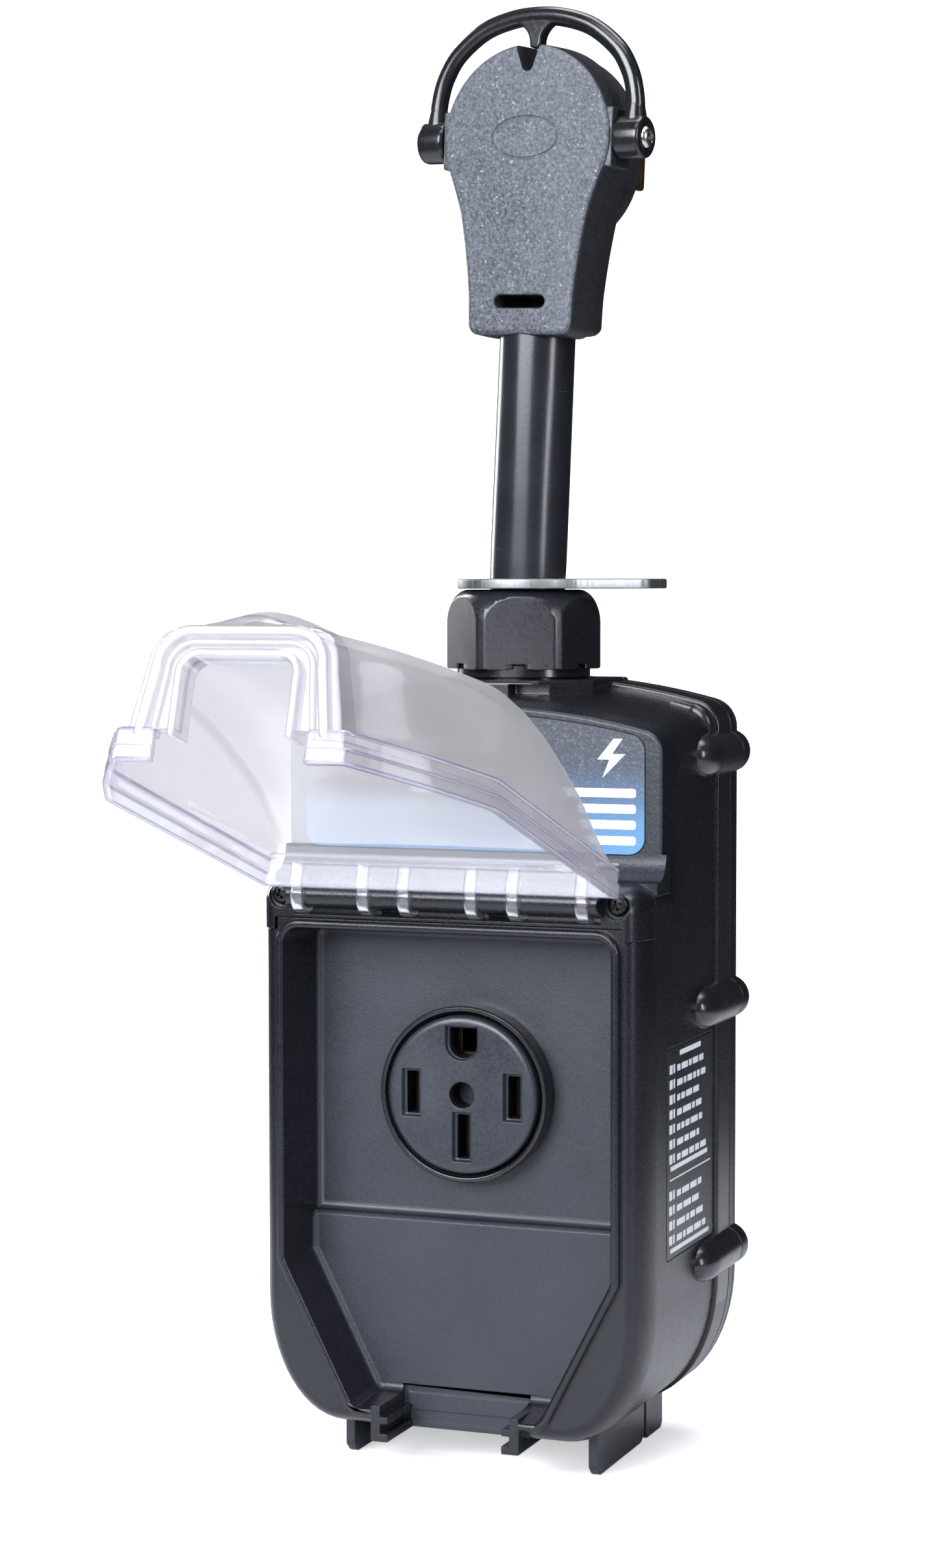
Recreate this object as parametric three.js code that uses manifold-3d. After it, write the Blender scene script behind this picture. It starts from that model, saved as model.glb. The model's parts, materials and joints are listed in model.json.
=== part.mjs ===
// Portable 50 A surge protector: a case with a recessed receptacle and a hinged clear cover,
// a cord gland on top, a short cable with a loose lock plate, and a plug head with a pull handle.
// Millimetres, +Z up, X to the right, Y into the case (the front faces -Y).
// The case is drawn with the gland on the Z axis and the feet at Z = 0.
import * as THREE from "three";
import { mergeVertices } from "three/addons/utils/BufferGeometryUtils.js";
import Module from "manifold-3d";

const wasm = await Module();
wasm.setup();

// ---- driving dimensions ----
const HALF_WIDTH = 69; // of the case wall
const FLANGE_OUT = 1.3; // how far the seam flange stands out of the wall
const RIM_Y = -78; // front plane of the recess rim
const FACE_Y = -75; // case front round the rim
const PANEL_Y = -51; // upper panel, set back
const FLANGE_Y = 5; // where the seam flange starts
const SEAM_Y = 19; // back edge of the front shell
const COVER_Y = SEAM_Y + 0.4; // front edge of the rear cover
const BACK_Y = 29.3;
const BOTTOM_Z = 14.45;
const TOP_Z = 267; // crown of the arched top
const ARCH_RADIUS = 251;
const LOWER_CORNER = { x: 40, z: 58.5 }; // centre of each long bottom corner
const LEDGE_Z = 202; // top of the lower, deeper part
const WALL = 3;
const GAP = 0.3; // clearance between fitted pieces
const RIM = { halfWidth: 61.1, top: 187.65, bend: 70.85, bottom: 20, bottomHalf: 33, wall: 2.8 };
const FLOOR_Y = -52.5; // recess floor, upper part
const LOW_FLOOR_Y = -56.5; // recess floor, lower part
const STEP_Z = 84.6; // where the two meet
const SOCKET = { y: -61.2, z: 128.45 }; // receptacle face and centre height
// Contact places from the receptacle's centre, the same on the plug.
const HOT_X = 18.3;
const NEUTRAL_Z = -14.3;
const GROUND_Z = 17.6;
const HINGE = { y: -78.3, z: 196.65, barrel: 4.2, hookOuter: 6.6, hookInner: 4.6, channel: 7.4 };
const HOOKS_X = [-50.4, -26.5, -11.9, 11.9, 26.5, 50.4];
const LID_OPEN = 107.6; // degrees from closed
const BOSS = { x: 67.7, radius: 7.5, noseY: -18, z: { top: 242, middle: 155, bottom: 66.5 } };
const SCREW_RADIUS = 2;
const BRACKET_SCREW = { x: 59.86, z: HINGE.z - 0.5, radius: 1.5 };
const NUT = { radius: 27, apothem: 24.3, bottom: 271.05, top: 298.7 };
const PLATE = { bottom: 299, top: 302.5 };
const ORIGIN_Y = 102.285; // how far the gland axis stands behind the part's origin
const CABLE_RADIUS = 13.4;
const CABLE_X = 1.4; // cable axis where it leaves the nut
const BEND_Z = 362; // height of the cable's bend
const HEAD_Z = 385.5; // underside of the plug head
const DEGREE = Math.PI / 180;
const LEAN = 2.5 * DEGREE; // lean of cable and plug towards +X
const HEAD_YAW = -10 * DEGREE;
const SIDES = { left: -1, right: 1 };

// ---- solids ----
const solid = (geometry) => {
  const bare = geometry.index ? geometry.toNonIndexed() : geometry.clone();
  bare.deleteAttribute("normal");
  bare.deleteAttribute("uv");
  const merged = mergeVertices(bare, 1e-4);
  const vertProperties = merged.attributes.position.array;
  const triVerts = new Uint32Array(merged.index.array);
  const build = () =>
    new wasm.Manifold(new wasm.Mesh({ numProp: 3, vertProperties, triVerts }));
  const built = build();
  if (built.volume() > 0) return built;
  // The profile runs the other way round: turn every triangle over.
  for (let i = 0; i < triVerts.length; i += 3) {
    [triVerts[i + 1], triVerts[i + 2]] = [triVerts[i + 2], triVerts[i + 1]];
  }
  return build();
};
const geometryOf = (shape) => {
  const mesh = shape.getMesh();
  const geometry = new THREE.BufferGeometry();
  geometry.setAttribute("position", new THREE.BufferAttribute(mesh.vertProperties.slice(), 3));
  geometry.setIndex(new THREE.BufferAttribute(new Uint32Array(mesh.triVerts), 1));
  return geometry;
};
const union = (shapes) => shapes.reduce((sum, shape) => sum.add(shape));
const bothSides = (make) => union([-1, 1].map(make));

// Boxes, and rods along X, take their two x ends in either order.
const box = (x0, x1, y0, y1, z0, z1) =>
  solid(
    new THREE.BoxGeometry(Math.abs(x1 - x0), y1 - y0, z1 - z0)
      .translate((x0 + x1) / 2, (y0 + y1) / 2, (z0 + z1) / 2),
  );
const boxAt = (x, z, halfX, halfZ, y0, y1) => box(x - halfX, x + halfX, y0, y1, z - halfZ, z + halfZ);
const crossAt = (x, z, arm, half, y0, y1) =>
  boxAt(x, z, arm, half, y0, y1).add(boxAt(x, z, half, arm, y0, y1));
const cylinder = (radius, length, sides, tip = radius) =>
  new THREE.CylinderGeometry(tip, radius, length, sides);
const rodX = (radius, y, z, x0, x1, sides) =>
  solid(cylinder(radius, Math.abs(x1 - x0), sides).rotateZ(Math.PI / 2).translate((x0 + x1) / 2, y, z));
const rodY = (radius, x, z, y0, y1, sides, tip) =>
  solid(cylinder(radius, y1 - y0, sides, tip).translate(x, (y0 + y1) / 2, z));
const rodZ = (radius, z0, z1, sides = 24, x = 0) =>
  solid(cylinder(radius, z1 - z0, sides).rotateX(Math.PI / 2).translate(x, 0, (z0 + z1) / 2));

const vectors = (points) => points.map(([x, y]) => new THREE.Vector2(x, y));
// A closed shape, without points that repeat the one before.
const shapeOf = (points) =>
  new THREE.Shape(
    vectors(
      points.filter(([x, y], i) => {
        const [lastX, lastY] = points.at(i - 1);
        return Math.hypot(x - lastX, y - lastY) > 1e-3;
      }),
    ),
  );
const extrude = (points, depth) =>
  new THREE.ExtrudeGeometry(shapeOf(points), { depth, bevelEnabled: false });
const prismX = (points, x0, x1) => // points are (y, z)
  solid(extrude(points, x1 - x0).rotateY(Math.PI / 2).rotateX(Math.PI / 2).translate(x0, 0, 0));
const prismY = (points, y0, y1) => // points are (x, z)
  solid(extrude(points, y1 - y0).rotateX(Math.PI / 2).translate(0, y1, 0));
const prismZ = (points, z0, z1) => // points are (x, y)
  solid(extrude(points, z1 - z0).translate(0, 0, z0));
// A prism along Y with its front edge rounded, or its back one.
const roundedPrismY = (points, y0, y1, { depth, inset, segments }, back = false) => {
  const geometry = new THREE.ExtrudeGeometry(shapeOf(points), {
    depth: y1 - y0,
    bevelThickness: depth,
    bevelSize: inset,
    bevelOffset: -inset,
    bevelSegments: segments,
  }).rotateX(Math.PI / 2);
  if (back) {
    return solid(geometry.rotateZ(Math.PI).translate(0, y0 - depth, 0))
      .intersect(box(-200, 200, y0, y1 + 1, -100, 700));
  }
  return solid(geometry.translate(0, y1 + depth, 0))
    .intersect(box(-200, 200, y0 - 1, y1, -100, 700));
};
const lathe = (points, segments) => new THREE.LatheGeometry(vectors(points), segments);

const ellipseArc = (centreX, centreY, radiusX, radiusY, from, to, steps) =>
  Array.from({ length: steps + 1 }, (_, i) => {
    const angle = (from + ((to - from) * i) / steps) * DEGREE;
    return [centreX + radiusX * Math.cos(angle), centreY + radiusY * Math.sin(angle)];
  });
const arc = (x, y, radius, from, to, steps) => ellipseArc(x, y, radius, radius, from, to, steps);
const roundRect = (x0, x1, z0, z1, radius, steps) => [
  ...arc(x1 - radius, z0 + radius, radius, -90, 0, steps),
  ...arc(x1 - radius, z1 - radius, radius, 0, 90, steps),
  ...arc(x0 + radius, z1 - radius, radius, 90, 180, steps),
  ...arc(x0 + radius, z0 + radius, radius, 180, 270, steps),
];
// A polygonal wire swept along a smooth curve through the points.
const sweep = (points, radius, sides, steps) =>
  solid(
    new THREE.ExtrudeGeometry(
      new THREE.Shape(vectors(arc(0, 0, radius, 0, 360, sides).slice(0, sides))),
      {
        steps,
        bevelEnabled: false,
        extrudePath: new THREE.CatmullRomCurve3(points.map((point) => new THREE.Vector3(...point))),
      },
    ),
  );

// ---- materials: colour, roughness, metalness ----
const FINISHES = {
  case: [0x1b1c20, 0.42],
  gloss: [0x131417, 0.25],
  rubber: [0x101012, 0.85],
  clear: [0xe6e2f4, 0.12],
  receptacle: [0x26282c, 0.5],
  label: [0x4f86c0, 0.4],
  sideLabel: [0x0c0c0e, 0.3],
  smoke: [0x18080a, 0.1],
  steel: [0xb9bbbd, 0.35, 1],
  darkSteel: [0x1c1c1e, 0.4, 0.8],
  brass: [0xb08d57, 0.4, 1],
  cable: [0x17181b, 0.45],
  head: [0x3b3e44, 0.7],
  board: [0x1f4a2c, 0.6],
  relay: [0x202226, 0.4],
  copper: [0xa8623c, 0.5, 1],
  varistor: [0x2a4f9a, 0.4],
  wireRed: [0x8e1a16, 0.5],
  wireBlack: [0x0e0e10, 0.5],
  wireWhite: [0xd9d9d6, 0.5],
  wireGreen: [0x1d6b35, 0.5],
  terminal: [0x2c5a3c, 0.5],
};
const materials = Object.fromEntries(
  Object.entries(FINISHES).map(([name, [color, roughness, metalness = 0]]) => [
    name,
    new THREE.MeshStandardMaterial({ color, roughness, metalness }),
  ]),
);
materials.clear.transparent = true;
materials.clear.opacity = 0.35;

const product = new THREE.Group();
const add = (name, shape, finish, parent = product) => {
  const mesh = new THREE.Mesh(geometryOf(shape), materials[finish]);
  mesh.name = name;
  parent.add(mesh);
};

// ================= case =================
const lowerCorner = (side, offset) =>
  ellipseArc(
    side * LOWER_CORNER.x, LOWER_CORNER.z,
    HALF_WIDTH + offset - LOWER_CORNER.x, LOWER_CORNER.z - BOTTOM_Z + offset,
    side > 0 ? -90 : 180, side > 0 ? 0 : 270, 4,
  );
// Case outline moved outwards: flat bottom, long rounded lower corners, arched top.
const caseOutline = (offset, top = TOP_Z) => {
  const radius = 9 + offset;
  const cornerX = HALF_WIDTH + offset - radius;
  const archZ = (x) => top + offset - (ARCH_RADIUS - Math.sqrt(ARCH_RADIUS * ARCH_RADIUS - x * x));
  return [
    ...lowerCorner(1, offset),
    ...arc(cornerX, archZ(cornerX) - radius, radius, 0, 70, 3),
    ...[cornerX, 40, 20, 0, -20, -40, -cornerX].map((x) => [x, archZ(x)]),
    ...arc(-cornerX, archZ(cornerX) - radius, radius, 110, 180, 3),
    ...lowerCorner(-1, offset),
  ];
};
const LEDGE_RADIUS = 8;
const ledgeCorner = (side, from) =>
  arc(side * (HALF_WIDTH - LEDGE_RADIUS), LEDGE_Z - LEDGE_RADIUS, LEDGE_RADIUS, from, from + 90, 2);
const lowerOutline = [
  ...lowerCorner(1, 0), ...ledgeCorner(1, 0), ...ledgeCorner(-1, 90), ...lowerCorner(-1, 0),
];
const LOWER_BEVEL = { depth: 15, inset: 7, segments: 4 };
const rimOutline = (inset) => {
  const halfWidth = RIM.halfWidth - inset;
  const top = RIM.top - inset;
  const bottom = RIM.bottom + inset;
  const slant = inset * 0.55; // the inset's share along the sloping lower sides
  const bottomHalf = RIM.bottomHalf - slant;
  const chamferX = RIM.bottomHalf + 3.5 - slant;
  const radius = Math.max(8 - inset, 1.5);
  return [
    [-bottomHalf, bottom], [bottomHalf, bottom], [chamferX, bottom + 3],
    [halfWidth, RIM.bend + slant],
    ...arc(halfWidth - radius, top - radius, radius, 0, 90, 3),
    ...arc(-(halfWidth - radius), top - radius, radius, 90, 180, 3),
    [-halfWidth, RIM.bend + slant], [-chamferX, bottom + 3],
  ];
};
const atBosses = (make) => bothSides((side) => union(Object.values(BOSS.z).map((z) => make(side * BOSS.x, z))));
const hub = prismZ(arc(0, 0, 33, 22.5, 337.5, 7), 258, 267.75); // octagon round the gland
const glandBore = rodZ(20.4, 240, 280);
const locknutRoom = rodZ(29, 250, 262.3, 16);
// Seat of the hinge bracket, cut round the rim's top corners.
const bracketSeat = (clearance) => {
  const backY = -62 + clearance;
  return box(-90, 90, -95, backY, 188.2 - clearance, 230)
    .add(bothSides((side) => box(side * (61.6 - clearance), side * 90, -95, backY, 184 - clearance, 230)));
};
const bracketScrewHole = (side, y0, y1) =>
  rodY(BRACKET_SCREW.radius + GAP, side * BRACKET_SCREW.x, BRACKET_SCREW.z, y0, y1, 10);

// Labels and display window, shared by the pieces and their recesses.
const LABEL = { cornerX: 55.8, cornerZ: 216.2, radius: 5.5, crown: 256.9 };
const labelOutline = (offset) => {
  const { cornerX, cornerZ } = LABEL;
  const radius = LABEL.radius + offset;
  const topZ = (x) => LABEL.crown + offset - (x * x) / 520;
  const upperZ = topZ(cornerX + LABEL.radius) - radius;
  return [
    ...arc(cornerX, cornerZ, radius, -90, 0, 3),
    ...arc(cornerX, upperZ, radius, 0, 80, 3),
    [30, topZ(30)], [0, topZ(0)], [-30, topZ(30)],
    ...arc(-cornerX, upperZ, radius, 100, 180, 3),
    ...arc(-cornerX, cornerZ, radius, 180, 270, 3),
  ];
};
const windowBox = (inset, y0, y1) => box(-56 + inset, -30 - inset, y0, y1, 232 + inset, 246 - inset);
const sideLabelBox = (offset, inwards, outwards) =>
  box(
    HALF_WIDTH - inwards, HALF_WIDTH + outwards,
    -50 - offset, 2.5 + offset, 74.6 - offset, 145.5 + offset,
  );

// Lower block, set-back upper block with a cove above the ledge, and the seam flange.
const shellOutside = () => {
  const lower = roundedPrismY(lowerOutline, FACE_Y, SEAM_Y, LOWER_BEVEL);
  const upper = roundedPrismY(caseOutline(0), PANEL_Y, SEAM_Y, { depth: 9, inset: 2.8, segments: 3 });
  // The top falls towards the front.
  const slopedTop = solid(
    extrude(caseOutline(1.5), 140).rotateX(Math.PI / 2)
      .translate(0, 0, -TOP_Z).rotateX(5.6 * DEGREE).translate(0, FLANGE_Y + 4, TOP_Z - 1.5),
  );
  const coveProfile = [
    [PANEL_Y - 7, LEDGE_Z - 1], [PANEL_Y + 1, LEDGE_Z - 1], [PANEL_Y + 1, LEDGE_Z + 6.5],
    [PANEL_Y - 0.4, LEDGE_Z + 5.5], [PANEL_Y - 2.5, LEDGE_Z + 2],
  ];
  return lower
    .add(upper.intersect(slopedTop.add(box(-90, 90, -100, 40, -10, 240))))
    .add(prismY(caseOutline(FLANGE_OUT), FLANGE_Y, SEAM_Y))
    .add(prismX(coveProfile, -(HALF_WIDTH - 3), HALF_WIDTH - 3));
};
// A screw boss: straight towards the seam, with a bullet nose at the front.
const screwBoss = (x, z) => {
  const length = SEAM_Y - BOSS.noseY;
  const profile = [ // radius, distance behind the nose
    [0, 0], [3.2, 1.2], [5.6, 4.2], [7, 8.4], [BOSS.radius, 13], [BOSS.radius, length], [0, length],
  ];
  return solid(lathe(profile, 12).translate(x, BOSS.noseY, z));
};
// A fin under the case, in a front and a rear part; profiles are (y, z).
const FIN = { x: 42.7, thickness: 3.4 };
const fin = (x) =>
  union(
    [
      [[-50.4, 0], [-5.5, 0], [-2.5, 3], [-2.5, 24], [-53.4, 24], [-53.4, 3]],
      [[1, 0], [16.5, 0], [18.5, 2], [18.5, 20], [-0.5, 20], [-0.5, 1.5]],
    ].map((profile) => prismX(profile, x, x + FIN.thickness)),
  );
const frontShell = () => {
  const collar = hub.intersect(box(-31, 31, -34, SEAM_Y, 250, 270))
    .subtract(box(7, 19, -40, -20, 263, 266.6));
  const cavity = prismY(caseOutline(-WALL, TOP_Z - 6.5), FLOOR_Y + WALL + 0.7, SEAM_Y + 1)
    .add(locknutRoom);
  const land = prismY(caseOutline(0), SEAM_Y - 6, SEAM_Y)
    .subtract(prismY(caseOutline(-9), SEAM_Y - 7, SEAM_Y + 1));
  let shell = shellOutside().add(collar).subtract(cavity).add(land).add(atBosses(screwBoss));

  // Recess with its proud rim, and the block for the cord notch.
  const railBlock = box(-26.6, 26.6, RIM_Y, FLOOR_Y + WALL, 11.75, 22.5);
  const notchY = FLOOR_Y - 2.6;
  const lowFloor = prismY(rimOutline(RIM.wall + 0.2), LOW_FLOOR_Y, FLOOR_Y + 1)
    .intersect(box(-60, 60, -60, -50, 10, STEP_Z))
    .subtract(box(-24, 24, -90, notchY, 0, 25));
  shell = shell.add(prismY(rimOutline(0), RIM_Y, FLOOR_Y + WALL)).add(railBlock)
    .subtract(prismY(rimOutline(RIM.wall), RIM_Y - 1, FLOOR_Y))
    .add(lowFloor);

  // The notch, a groove in its sides, and the clearance above its rail.
  shell = shell.subtract(box(-20.4, 20.4, RIM_Y - 3, notchY, 5, 30))
    .subtract(box(-23.2, 23.2, RIM_Y - 3, FLOOR_Y + 0.2, 14.55, 17.85))
    .subtract(box(-23.2, 23.2, RIM_Y - 3, notchY, 20.25, 30))
    .add(fin(FIN.x)).add(fin(-FIN.x - FIN.thickness));

  // Screw holes, bracket seat, receptacle, gland, label recesses and window.
  shell = shell.subtract(atBosses((x, z) => rodY(SCREW_RADIUS + GAP, x, z, -6, SEAM_Y + 2, 8)))
    .subtract(bracketSeat(0))
    .subtract(rodY(28, 0, SOCKET.z, -70, -40, 24))
    .subtract(glandBore).subtract(locknutRoom)
    .subtract(prismY(labelOutline(GAP), PANEL_Y - 5, PANEL_Y + 0.6))
    .subtract(windowBox(0, -60, -40))
    .subtract(sideLabelBox(GAP, 0.6, 0.9));
  return shell.subtract(bothSides((side) => bracketScrewHole(side, -64, -52)));
};
add("front_shell", frontShell(), "case");

// Shallow cap with a gasket groove and counterbored screw bosses.
const rearCover = () => {
  const cap = roundedPrismY(
    caseOutline(FLANGE_OUT), COVER_Y, BACK_Y, { depth: 3, inset: 3, segments: 3 }, true,
  );
  const groove = prismY(caseOutline(-4.6), SEAM_Y - 1, SEAM_Y + 2.4)
    .subtract(prismY(caseOutline(-7.2), SEAM_Y - 2, SEAM_Y + 3));
  return cap.add(atBosses((x, z) => rodY(BOSS.radius, x, z, COVER_Y, BACK_Y - 1.2, 12)))
    .add(hub.intersect(box(-31, 31, COVER_Y, 26, 250, 270)))
    .subtract(prismY(caseOutline(-9), SEAM_Y - 1, BACK_Y - WALL))
    .subtract(groove).subtract(glandBore)
    .subtract(rodZ(23.8, 267.75, 280))
    .subtract(locknutRoom.intersect(box(-40, 40, 0, BACK_Y - WALL, 240, 270)))
    .subtract(atBosses((x, z) => rodY(SCREW_RADIUS + GAP, x, z, SEAM_Y - 1, BACK_Y + 1, 8)))
    .subtract(atBosses((x, z) => rodY(4.5, x, z, BACK_Y - 5, BACK_Y + 1, 12)));
};
add("rear_cover", rearCover(), "case");

const gasket = prismY(caseOutline(-4.9), SEAM_Y + 0.3, SEAM_Y + 2.1)
  .subtract(prismY(caseOutline(-6.9), SEAM_Y - 1, SEAM_Y + 3))
  .subtract(rodZ(29.6, 240, 290)); // its ends stop at the gland's hub
add("case_gasket", gasket, "rubber");

const caseScrew = (x, z) =>
  rodY(4.1, x, z, BACK_Y - 4.7, BACK_Y - 1.9, 12)
    .add(rodY(SCREW_RADIUS, x, z, -5, BACK_Y - 4.5, 8))
    .subtract(crossAt(x, z, 2, 0.5, BACK_Y - 3.2, BACK_Y));
for (const [sideName, side] of Object.entries(SIDES)) {
  for (const [level, z] of Object.entries(BOSS.z)) {
    add(`case_screw_${sideName}_${level}`, caseScrew(side * BOSS.x, z), "darkSteel");
  }
}

// A bar across the front with the barrel that carries the clear cover.
const hingeBracket = () =>
  roundedPrismY(lowerOutline, FACE_Y - 1.4, -40, LOWER_BEVEL).intersect(bracketSeat(-GAP))
    .subtract(rodX(HINGE.channel, HINGE.y, HINGE.z, -54.5, 54.5, 12))
    .add(rodX(HINGE.barrel, HINGE.y, HINGE.z, -56, 56, 12))
    .add(bothSides((side) =>
      box(side * 14.4, side * 24, HINGE.y + 1, -67, HINGE.z - 5, HINGE.z + 1.5)))
    .subtract(bothSides((side) =>
      rodY(4.6, side * BRACKET_SCREW.x, BRACKET_SCREW.z, -90, FACE_Y + 1.2, 16)))
    .subtract(bothSides((side) => bracketScrewHole(side, -90, -60)));
add("hinge_bracket", hingeBracket(), "case");

const bracketScrew = (x, z) =>
  rodY(3.3, x, z, FACE_Y - 0.9, FACE_Y + 0.9, 16)
    .add(rodY(BRACKET_SCREW.radius, x, z, FACE_Y, -53, 10))
    .subtract(crossAt(x, z, 1.8, 0.45, FACE_Y - 2, FACE_Y - 0.1));
for (const [sideName, side] of Object.entries(SIDES)) {
  const screw = bracketScrew(side * BRACKET_SCREW.x, BRACKET_SCREW.z);
  add(`bracket_screw_${sideName}`, screw, "darkSteel");
}

const frontLabel = prismY(labelOutline(0), PANEL_Y - 0.15, PANEL_Y + 0.25)
  .subtract(windowBox(0.2, -60, -40));
add("front_label", frontLabel, "label");
add("display_window", windowBox(0.5, PANEL_Y - 0.05, PANEL_Y + 2.4), "smoke");
add("display_module", windowBox(1, PANEL_Y + 3, PANEL_Y + 9), "relay");
add("side_label", sideLabelBox(0, 0.3, 0.12), "sideLabel");

// ================= receptacle =================
const receptacleFace = () => {
  const groundZ = SOCKET.z + 17;
  const groundSlot = [
    [-4.4, groundZ + 5.6], ...arc(0, groundZ, 4.4, 180, 360, 6), [4.4, groundZ + 5.6],
  ];
  return rodY(27, 0, SOCKET.z, SOCKET.y, -52.2, 32)
    .subtract(bothSides((side) => boxAt(side * HOT_X, SOCKET.z, 1.7, 7.6, -70, -50)))
    .subtract(boxAt(0, SOCKET.z + NEUTRAL_Z, 1.7, 7.5, -70, -50))
    .subtract(prismY(groundSlot, -70, -50))
    .subtract(rodY(4.4, 0, SOCKET.z, -70, -55, 16));
};
add("receptacle_face", receptacleFace(), "receptacle");
const socketRing = rodY(30.2, 0, SOCKET.z, -60, FLOOR_Y - GAP, 32)
  .subtract(rodY(27.4, 0, SOCKET.z, -70, -40, 32));
add("receptacle_ring", socketRing, "gloss");

// Wells behind the face: contact, x, z, half-width, half-height, half-size of the contact's mouth.
const WELLS = [
  ["hot_1", -HOT_X, 0, 3.2, 8.7, 1, 17.4],
  ["hot_2", HOT_X, 0, 3.2, 8.7, 1, 17.4],
  ["neutral", 0, NEUTRAL_Z, 3.2, 8.7, 1, 17.4],
  ["ground", 0, GROUND_Z, 5.5, 6.3, 3.4, 4.2],
];
const wells = WELLS.map(([, x, z, halfX, halfZ]) => boxAt(x, SOCKET.z + z, halfX, halfZ, -60, -28));
add("receptacle_body", rodY(27, 0, SOCKET.z, -51.8, -24, 20).subtract(union(wells)), "receptacle");
for (const [name, x, z, halfX, halfZ, mouthX, mouthZ] of WELLS) {
  const contact = boxAt(x, SOCKET.z + z, halfX - 0.4, halfZ - 0.4, -51, -29)
    .subtract(boxAt(x, SOCKET.z + z, mouthX, mouthZ, -60, -32));
  add(`contact_${name}`, contact, "brass");
}

// ================= inside the case =================
const BOARD_Y = [-16, -14.4];
const PARTS_Y = -14; // front of the parts behind the board
add("circuit_board", box(-54, 54, ...BOARD_Y, 34, 232), "board");
for (const [sideName, side] of Object.entries(SIDES)) {
  add(`relay_${sideName}`, box(side * 18, side * 48, PARTS_Y, 10, 140, 182), "relay");
}
add("transformer", box(-46, -10, PARTS_Y, 14, 52, 84), "copper");
[[14, 104], [32, 104], [14, 78], [32, 78]].forEach(([x, z], i) => {
  add(`varistor_${i + 1}`, rodY(8, x, z, PARTS_Y, -8.5, 16), "varistor");
});
add("terminal_block", box(-30, 30, PARTS_Y, 4, 196, 212), "terminal");

// ================= gland, cable, lock plate =================
const glandBody = rodZ(23.4, 268.05, 272.5).add(rodZ(20, 252, 289)).subtract(rodZ(14.6, 240, 300));
add("gland_body", glandBody, "gloss");
const hexagon = (radius, turn) => arc(0, 0, radius, turn, turn + 300, 5);
const locknut = prismZ(hexagon(27.5, 0), 256, 261.5).subtract(rodZ(20.3, 240, 280));
add("gland_locknut", locknut, "rubber");

const glandNut = () => {
  const profile = [ // radius, z
    [0, NUT.bottom + 1.8], [24.2, NUT.bottom + 1.8], [24.2, NUT.bottom], [NUT.radius, NUT.bottom],
    [NUT.radius, 287.5], [26.1, 291.5], [24, 295], [20.6, 297.6], [17, NUT.top], [0, NUT.top],
  ];
  const turn = 16.3 - 90 + 30; // one flat faces 16.3 degrees right of the front
  return solid(lathe(profile, 24).rotateX(Math.PI / 2))
    .intersect(prismZ(hexagon(NUT.apothem / Math.cos(30 * DEGREE), turn), 260, 310))
    .subtract(rodZ(20.3, 260, 292.3))
    .subtract(rodZ(15.6, 260, 310))
    .subtract(rodZ(23.7, 260, 272.8));
};
add("gland_nut", glandNut(), "gloss");
add("gland_seal", rodZ(19.9, 289.4, 292).subtract(rodZ(14.3, 280, 300)), "rubber");

// Cable: upright in the gland, then leaning. A ball at the bend ends the upper length, and the
// lower length is hollowed to clear it.
const leanMatrix = new THREE.Matrix4().makeTranslation(CABLE_X, 0, PLATE.bottom)
  .multiply(new THREE.Matrix4().makeRotationY(LEAN));
const bendAt = (BEND_Z - PLATE.bottom) / Math.cos(LEAN); // along the leaning axis
const leaningCable = (from, to) =>
  solid(
    cylinder(CABLE_RADIUS, to - from, 24).rotateX(Math.PI / 2)
      .translate(0, 0, (from + to) / 2).applyMatrix4(leanMatrix),
  );
const bendBall = (radius) =>
  solid(
    new THREE.SphereGeometry(radius, 20, 8).rotateX(Math.PI / 2)
      .translate(0, 0, bendAt).applyMatrix4(leanMatrix),
  );
const lowerCable = rodZ(CABLE_RADIUS, 240, 297).add(leaningCable(-6, bendAt - 2.8))
  .subtract(bendBall(CABLE_RADIUS + 0.5));
add("cable_lower", lowerCable, "cable");
add("cable_upper", leaningCable(bendAt + 3, bendAt + 30).add(bendBall(CABLE_RADIUS)), "cable");

// Conductors: name, x and y in the cable, x at the terminal block, material.
const CONDUCTORS = [
  ["line_1", -5, -5, -20, "wireBlack"],
  ["line_2", 5, -5, 20, "wireRed"],
  ["neutral", -5, 5, -7, "wireWhite"],
  ["ground", 5, 5, 7, "wireGreen"],
];
for (const [name, x, y, endX, finish] of CONDUCTORS) {
  const path = [
    [x, y, 239.6], [x, y, 233], [(x + endX) / 2, (y - 5) / 2, 224], [endX, -5, 217], [endX, -5, 212.3],
  ];
  add(`conductor_${name}`, sweep(path, 2.6, 6, 5), finish);
}

// A ring round the cable with a holed tab at the right.
const lockPlate = () => {
  const tab = { x: 50, half: 12, corner: 4, root: 22 };
  const { x, half, corner, root } = tab;
  const shape = new THREE.Shape();
  shape.moveTo(x - corner, -half);
  shape.quadraticCurveTo(x, -half, x, corner - half);
  shape.lineTo(x, half - corner);
  shape.quadraticCurveTo(x, half, x - corner, half);
  shape.lineTo(root, half);
  for (const point of arc(1.8, 0, 25, 32, 328, 16)) shape.lineTo(...point);
  shape.lineTo(root, -half);
  const depth = PLATE.top - PLATE.bottom;
  const geometry = new THREE.ExtrudeGeometry(shape, { depth, bevelEnabled: false, curveSegments: 4 });
  return solid(geometry.translate(0, 0, PLATE.bottom))
    .subtract(rodZ(16.2, 290, 310, 24, CABLE_X))
    .subtract(rodZ(5.5, 290, 310, 20, 38));
};
add("lock_plate", lockPlate(), "steel");

// ================= plug head =================
// Its own frame has the origin at the middle of the underside.
const head = new THREE.Group();
head.position.set(CABLE_X + (HEAD_Z - PLATE.bottom) * Math.tan(LEAN), 0, HEAD_Z);
head.rotation.order = "ZYX";
head.rotation.set(0, LEAN, HEAD_YAW);
product.add(head);

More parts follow.
